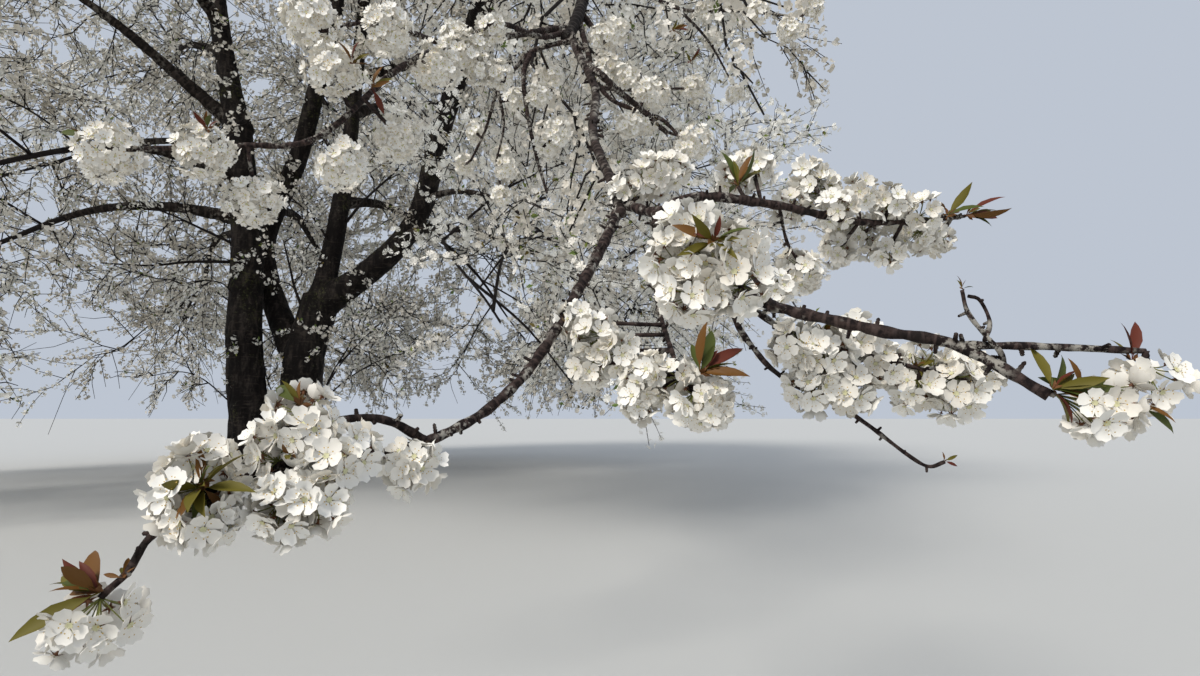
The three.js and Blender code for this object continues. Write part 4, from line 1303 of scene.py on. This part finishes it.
BARE_TWIGS = [
    ((0.004, 0.002), [(3.87, -6.81, 0.86), (3.881, -6.8, 0.808), (3.913, -6.81, 0.756),
                      (3.945, -6.82, 0.728), (3.985, -6.82, 0.711), (4.024, -6.83, 0.682),
                      (4.06, -6.84, 0.651), (4.085, -6.84, 0.636), (4.104, -6.84, 0.641)]),
    ((0.003, 0.0018), [(4.1, -6.97, 0.735), (4.091, -6.98, 0.751), (4.078, -6.98, 0.767),
                       (4.063, -6.98, 0.789), (4.059, -6.98, 0.81)]),
    ((0.0024, 0.0016), [(4.077, -6.98, 0.762), (4.089, -6.97, 0.781), (4.081, -6.97, 0.802),
                        (4.07, -6.97, 0.806)]),
]
# How finely a twig is modelled, where it is close, farther off, or bare and close
CLOSE = SimpleNamespace(spacing=0.005, sides=10, knob_spacing=0.02, knob_size=0.0065)
FARTHER = SimpleNamespace(spacing=0.014, sides=7, knob_spacing=0.06, knob_size=0.0065)
BARE = SimpleNamespace(spacing=0.0035, sides=8, knob_spacing=0.016, knob_size=0.0045)
TWIG_LUMPS = (90, 0.2)
SPUR_LUMPS = (120, 0.2)
SPUR_SHAPE = (1, 0.8, 0.95, 0.8, 0.95, 0.85, 1.1, 0.7)  # widths along a spur, with its ring scars
SPUR_REACH = 0.34  # from the middle of a bunch to its spur, as a share of the bunch's radius
FOOT_STEPS = 60  # steps along a twig by which the foot of a spur is found
near_draw = np.random.default_rng(501)
near_roll = dice(502)
near_wood = Heap()
bunches = []


def near_twig(course, radii, detail):
    """A twig seen close by: rough skin, knobs of old spurs along it, and a blunt tip."""
    places, shares = course.places(0.0, 1.0, detail.spacing)
    widths = between(radii, shares)
    widths *= 1 + 0.1 * np.sin(shares * course.length * 160 + 6 * near_draw.random())
    marks = np.repeat(shares * course.length, detail.sides)
    near_wood.add(rough_tube(places, widths, detail.sides, *TWIG_LUMPS), marks=marks)
    for k in range(int(course.length / detail.knob_spacing)):
        share = (k + near_roll()) * detail.knob_spacing / course.length
        out = across(course.heading_at(share), 360 * near_roll())
        root = course.at(share) + out * between(radii, share) * 0.7
        near_wood.add(knob(root, out, detail.knob_size, near_roll))


for row in NEAR_SPRAYS + OVERHEAD:
    near = row["name"] in NEAR
    root = limbs[row["on"]].course.at(row["share"])
    courses = []
    for k, (radii, through) in enumerate(row["twigs"]):
        places = through if k else [root, *through]
        courses.append(smooth_course(places))
        near_twig(courses[-1], radii, CLOSE if near else FARTHER)
    steps = [k / FOOT_STEPS for k in range(FOOT_STEPS + 1)]
    feet = np.array([course.at(share) for course in courses for share in steps])
    for k, place in enumerate(row["clusters"] + row.get("more", [])):
        centre = np.array(place)
        foot = feet[np.linalg.norm(feet - centre, axis=1).argmin()]
        size = row["cluster"] if k < len(row["clusters"]) else MORE_SIZE
        hanging = HANGING.get((row["name"], k))
        if hanging:
            centre, foot = np.array(hanging["centre"]), np.array(hanging["foot"])
            size = hanging["size"]
        away = np.linalg.norm(foot - centre)
        origin = centre + (foot - centre) * (0.8 if hanging else min(1, SPUR_REACH * size / away))
        if hanging or away > SPUR_REACH * size:
            line = foot + np.outer(np.linspace(0, 1.05, len(SPUR_SHAPE)), origin - foot)
            widths = np.array(SPUR_SHAPE) * (0.0034 if near else 0.005)
            near_wood.add(rough_tube(line, widths, 8, *SPUR_LUMPS), marks=0.01)
        bunch = dict(near=near, hanging=hanging, centre=centre, origin=origin, foot=foot, size=size)
        bunches.append(SimpleNamespace(**bunch))
for radii, places in BARE_TWIGS:
    near_twig(smooth_course(places), radii, BARE)

near_bark = young_bark("near_twig_bark", (0.009, 0.006, 0.006), (0.045, 0.03, 0.026), 0.9, 2.2)
near_twigs = near_wood.piece("near_twigs", [near_bark])
near_names = [row["name"] for row in NEAR_SPRAYS] + ["bough_overhead"]
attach(near_twigs, "root")
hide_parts(*near_names)

# The near blossom: bunches of long-stalked flowers from one spur, which face outwards all round.
# Each petal is broad, cupped and notched at its end, and cream white. The flowers of the sprays
# overhead are simpler.
TUFTS = [  # young leaves: place, azimuth and rise, length, count and spread
    ((3.385, -7.032, 0.632), (-65, 8), 0.042, 18, 0.8),
    ((3.435, -6.97, 0.702), (150, 55), 0.045, 6, 0.5),
    ((3.44, -6.995, 0.657), (-80, 10), 0.032, 5, 0.6),
    ((3.327, -7.06, 0.555), (188, 18), 0.052, 17, 0.6),
    ((3.338, -7.052, 0.564), (30, 40), 0.02, 4, 0.8),
    ((3.818, -7.02, 0.846), (-95, 10), 0.034, 12, 0.8),
    ((3.85, -6.98, 0.912), (100, 70), 0.042, 9, 0.45),
    ((3.84, -6.78, 0.746), (-15, 25), 0.062, 13, 0.6),
    ((4.118, -7.008, 0.715), (-20, 10), 0.04, 16, 0.7),
    ((4.142, -7.01, 0.716), (-30, 10), 0.03, 8, 0.8),
    ((4.197, -7.0, 0.741), (80, 80), 0.042, 3, 0.25),
    ((4.19, -7.01, 0.703), (-20, -30), 0.042, 2, 0.3),
    ((4.325, -6.525, 1.025), (-5, 15), 0.065, 9, 0.6),
    ((4.28, -6.55, 1.017), (10, 50), 0.055, 6, 0.6),
    ((3.962, -6.87, 0.778), (-80, 40), 0.026, 5, 0.6),
    ((4.072, -6.85, 0.746), (-80, 50), 0.032, 6, 0.6),
    ((4.089, -6.58, 1.048), (-90, 10), 0.026, 5, 0.6),
    ((2.754, -6.4, 1.213), (175, 20), 0.055, 4, 0.4),
    ((2.966, -6.38, 1.241), (-100, 50), 0.045, 4, 0.5),
    ((3.213, -6.32, 1.405), (-60, 40), 0.055, 5, 0.5),
    ((3.248, -6.3, 1.364), (-40, 40), 0.05, 4, 0.5),
    ((3.942, -5.65, 1.891), (0, 30), 0.05, 6, 0.6),
    ((4.003, -5.6, 1.814), (-30, 30), 0.045, 6, 0.6),
]
NEAR_WHITES = [(0.9, 0.875, 0.81), (0.84, 0.805, 0.73), (0.77, 0.73, 0.65)]
NEAR_WHITE_SHARES = (0.5, 0.32, 0.18)
NEAR_FLOWER = 0.0148
NEAR_RANGE = (0.86, 1.1)
CUPS = (0.6, 1.7)  # how flat or how closed the flowers are
FLOWERS_PER_AREA = 15500  # flowers in a bunch, for each square metre of its radius squared


def petals(rows, ring):
    """Five petals. rows gives each row across a petal as its points along, across and up."""
    points, faces = [], []
    for k in range(5):
        turn = math.radians(72 * k)
        start = len(points)
        for along, aside, up in rows:
            x = along * math.cos(turn) - aside * math.sin(turn)
            y = along * math.sin(turn) + aside * math.cos(turn)
            points.append((x, y, up))
        faces += [tuple(start + corner for corner in face) for face in ring]
    return np.array(points), np.array(faces)


# A claw, two rows of left, middle and right, and the blunt end with its slight notch. The left side
# of each petal lies over the right side of the next one.
fine_flower = petals(
    [(0.09, 0, 0.02), (0.43, 0.33, 0.19), (0.47, 0, 0.07), (0.43, -0.33, 0.1),
     (0.76, 0.44, 0.4), (0.82, 0, 0.23), (0.76, -0.44, 0.28),
     (0.99, 0.21, 0.45), (0.95, 0, 0.36), (0.99, -0.21, 0.37)],
    [(0, 3, 2), (0, 2, 1), (1, 2, 5), (1, 5, 4), (2, 3, 6), (2, 6, 5),
     (4, 5, 8), (4, 8, 7), (5, 6, 9), (5, 9, 8)],
)
plain_flower = petals(
    [(0.09, 0, 0.02), (0.62, 0.42, 0.26), (0.66, 0, 0.12), (0.62, -0.42, 0.18),
     (0.97, 0.24, 0.42), (0.94, 0, 0.3), (0.97, -0.24, 0.36)],
    [(0, 3, 2), (0, 2, 1), (1, 2, 5), (1, 5, 4), (2, 3, 6), (2, 6, 5)],
)


def open_flowers(bunch, draw):
    """Where the flowers of a bunch stand, and which way they face."""
    hanging = bunch.hanging
    count = hanging["flowers"] if hanging else round(FLOWERS_PER_AREA * bunch.size**2)
    out = even_directions(count) @ random_turns(draw, 1)[0]
    out = units(out + draw.normal(scale=0.12, size=out.shape))
    keep = out @ np.array(hanging["way"]) > -0.15 if hanging else np.ones(count, bool)
    reach = (0.6, 1.0) if hanging else (0.5, 0.8)
    places = bunch.centre + out * (bunch.size * draw.uniform(*reach, (count, 1)))
    twig_side = bunch.foot - bunch.centre
    if not hanging and np.linalg.norm(twig_side) > 0.5 * bunch.size:
        keep &= out @ unit(twig_side) < 0.8
    for place, aim, length, *_ in TUFTS:
        beyond = places - np.array(place)
        along = beyond @ heading(*aim)
        aside = np.linalg.norm(beyond - np.outer(along, heading(*aim)), axis=1)
        keep &= (along < -0.01) | (along > 2 * length) | (aside > 0.4 * length)
    axes = units(out + draw.normal(scale=0.2, size=out.shape))
    return places[keep], axes[keep]


near_whites = soft_finishes("near_white", NEAR_WHITES)
near_petals, overhead_petals = Heap(), Heap()
for bunch in bunches:
    bunch.places, bunch.axes = open_flowers(bunch, near_draw)
    count = len(bunch.places)
    bunch.spins = near_draw.uniform(0, FULL_TURN, count)
    bunch.sizes = NEAR_FLOWER * near_draw.uniform(*NEAR_RANGE, count)
    cups = near_draw.uniform(*CUPS, count)
    shape = fine_flower if bunch.near else plain_flower
    shades = near_draw.choice(3, count, p=NEAR_WHITE_SHARES)
    parts = copies(shape, bunch.places, bunch.axes, bunch.spins, bunch.sizes, cups)
    heap = near_petals if bunch.near else overhead_petals
    heap.add(parts, np.repeat(shades, len(shape[1])))
for heap, name, nodes in (
    (near_petals, "near_blossom", NEAR),
    (overhead_petals, "overhead_blossom", near_names[2:]),
):
    blossom = heap.piece(name, near_whites)
    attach(blossom, "root")
    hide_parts(*nodes)

# The hearts of the near flowers: a greenish cream throat and fine stamens with yellow anthers. Behind
# each flower of the near sprays are its reddish calyx and a green stalk, which bends out from the spur.
HEART_COLORS = [(0.62, 0.6, 0.36), (0.78, 0.74, 0.62), (0.5, 0.33, 0.08), (0.16, 0.07, 0.035),
                (0.16, 0.17, 0.045)]
THROAT, FILAMENT, ANTHER, CALYX, STALK = range(5)
STAMENS = 9
FEWER_STAMENS = 5  # in the flowers overhead


def heart(fine):
    """A throat disc, and stamens that lean out, each with an anther. Finishes go with the faces."""
    points, faces, kinds = [(0, 0, 0.06)], [], []
    for k in range(5):
        turn = math.radians(72 * k)
        points.append((0.2 * math.cos(turn), 0.2 * math.sin(turn), 0.08))
        faces.append((0, 1 + k, 1 + (k + 1) % 5))
        kinds.append(THROAT)
    for k in range(STAMENS if fine else FEWER_STAMENS):
        turn = k * 2.4
        lean = 0.28 + 0.3 * ((k * 0.618) % 1)
        out = np.array([math.cos(turn), math.sin(turn), 0])
        side = np.array([-math.sin(turn), math.cos(turn), 0])
        tip = out * lean + np.array([0, 0, 0.5 - 0.35 * lean])
        width = 0.05 if fine else 0.09
        start = len(points)
        if fine:
            points += [out * 0.05 - side * 0.02, out * 0.05 + side * 0.02, tip]
            faces.append((start, start + 1, start + 2))
            kinds.append(FILAMENT)
            start += 3
        points += [tip - side * width, tip - out * width, tip + side * width, tip + out * width]
        faces += [(start, start + 3, start + 2), (start, start + 2, start + 1)]
        kinds += [ANTHER, ANTHER]
    return (np.array(points, float), np.array(faces)), np.array(kinds)


def calyx():
    """A small cup under the petals with five sepals bent back."""
    points, faces = [(0, 0, -0.34)], []
    for k in range(5):
        turn = math.radians(72 * k + 36)
        points.append((0.13 * math.cos(turn), 0.13 * math.sin(turn), -0.02))
        points.append((0.42 * math.cos(turn + 0.6), 0.42 * math.sin(turn + 0.6), -0.14))
    for k in range(5):
        here, after = 1 + 2 * k, 1 + 2 * ((k + 1) % 5)
        faces += [(0, after, here), (here, after, here + 1)]
    return np.array(points), np.array(faces)


def stalk(origin, place, axis, size):
    """A thin stalk from the spur to the back of a flower, which leaves outwards and bends."""
    end = place - axis * size * 0.3
    middle = origin + (end - origin) * 0.5 + (unit(place - origin) - axis) * 0.004
    t = np.linspace(0, 1, 3)[:, None]
    line = origin * (1 - t) ** 2 + middle * (2 * t * (1 - t)) + end * t**2
    return tube(line, np.full(3, 0.0006), 3)


heart_colors = soft_finishes("heart", HEART_COLORS)
near_hearts, near_stalks = Heap(), Heap()
for bunch in bunches:
    shape, kinds = heart(bunch.near)
    where = (bunch.places, bunch.axes, bunch.spins, bunch.sizes)
    near_hearts.add(copies(shape, *where), np.tile(kinds, len(bunch.places)))
    if not bunch.near:
        continue
    near_stalks.add(copies(calyx(), *where), CALYX)
    for place, axis, size in zip(bunch.places, bunch.axes, bunch.sizes):
        near_stalks.add(stalk(bunch.origin, place, axis, size), STALK)
for heap, name in ((near_hearts, "near_hearts"), (near_stalks, "near_stalks")):
    piece = heap.piece(name, heart_colors, smooth=False)
    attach(piece, "root")
    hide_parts(*near_names)

# The young leaves of the near sprays: soft, folded along the midrib and bent back at their tips,
# bronze red where they are youngest and greener with age. Brown bud scales stand round their feet.
NEAR_LEAF_COLORS = [(0.14, 0.06, 0.01), (0.12, 0.1, 0.01), (0.11, 0.022, 0.01), (0.065, 0.08, 0.012)]
NEAR_LEAF_SHARES = (0.3, 0.36, 0.14, 0.2)
SCALE_COLOR = (0.16, 0.07, 0.025)
BUD_SCALES = 5
END_BUDS = [
    ((4.104, -6.84, 0.642), (0, 25), 0.014, 4, 0.5),
    ((4.059, -6.98, 0.811), (90, 80), 0.013, 4, 0.5),
]


def long_leaf():
    """A leaf along Z: rows of left, midrib and right, from the stalk to the tip."""
    rows = [(0, 0.01), (0.14, 0.012), (0.3, 0.08), (0.5, 0.12), (0.72, 0.1), (0.88, 0.05)]
    points, faces = [], []
    for along, half in rows:
        back = -0.22 * along**2
        points += [(back + 0.45 * half, half, along), (back, 0, along)]
        points.append((back + 0.45 * half, -half, along))
    points.append((-0.24, 0, 1))
    for k in range(len(rows) - 1):
        a = 3 * k
        faces += [(a, a + 4, a + 1), (a, a + 3, a + 4), (a + 1, a + 5, a + 2)]
        faces.append((a + 1, a + 4, a + 5))
    a = 3 * (len(rows) - 1)
    faces += [(a, a + 3, a + 1), (a + 1, a + 3, a + 2)]
    return np.array(points), np.array(faces)


def tuft(heap, place, aim, length, count, spread, draw):
    """Leaves that fan out from one bud, faces up and forward, with the bud's scales round them."""
    origin, direction = np.array(place), heading(*aim)
    axes = units(direction + draw.normal(scale=spread, size=(count, 3)))
    sizes = length * draw.uniform(0.5, 1.2, count)
    facing = np.array([0, -0.8, 0.6]) + draw.normal(scale=0.45, size=(count, 3))
    level, third = across_all(axes)
    spins = np.arctan2((third * facing).sum(1), (level * facing).sum(1))
    leaf = long_leaf()
    shades = np.repeat(draw.choice(4, count, p=NEAR_LEAF_SHARES), len(leaf[1]))
    heap.add(copies(leaf, np.tile(origin, (count, 1)), axes, spins, sizes), shades)
    scales = units(direction + draw.normal(scale=0.7, size=(BUD_SCALES, 3)))
    spins = draw.uniform(0, FULL_TURN, BUD_SCALES)
    parts = copies(crown_leaf, np.tile(origin, (BUD_SCALES, 1)), scales, spins, 0.25 * length)
    heap.add(parts, len(NEAR_LEAF_COLORS))


near_greens = soft_finishes("near_leaf", NEAR_LEAF_COLORS)
near_greens.append(Finish("bud_scale", SCALE_COLOR, 0.6, 0.25).material)
near_leaves = Heap()
for row in TUFTS + END_BUDS:
    tuft(near_leaves, *row, near_draw)
leaves = near_leaves.piece("near_leaves", near_greens)
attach(leaves, "root")
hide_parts(*near_names)

# The studio: a pale floor at the foot of the tree, plain pale light from all round and one broad, soft
# sun from behind the camera's left. The camera stands low under the edge of the crown, and looks a
# little upwards.
CAMERA_PLACE = (3.717, -7.6, 0.69)
CAMERA_RISE = 6.84
bpy.ops.mesh.primitive_plane_add(size=1200, location=(0, 0, 0))
floor = bpy.context.object
floor.name = "floor"
floor.data.materials.append(Finish("pale_floor", (0.55, 0.55, 0.53), 0.9).material)
floor.select_set(False)

world = bpy.data.worlds.new("pale_sky")
world.use_nodes = True
world.node_tree.nodes["Background"].inputs["Color"].default_value = (0.62, 0.68, 0.78, 1)
world.node_tree.nodes["Background"].inputs["Strength"].default_value = 0.82
bpy.context.scene.world = world
bpy.ops.object.light_add(type="SUN", rotation=(math.radians(48), 0, math.radians(-35)))
sun = bpy.context.object
sun.name = "soft_sun"
sun.data.energy = 2.6
sun.data.angle = math.radians(20)
sun.data.color = (1.0, 0.96, 0.9)
sun.select_set(False)

bpy.ops.object.camera_add(
    location=CAMERA_PLACE, rotation=(math.radians(90 + CAMERA_RISE), 0, 0)
)
camera = bpy.context.object
camera.name = "camera"
camera.data.lens = 20
camera.data.sensor_width = 36
camera.data.clip_start = 0.05
camera.data.clip_end = 2000
bpy.context.scene.camera = camera
bpy.context.scene.view_settings.view_transform = "Standard"
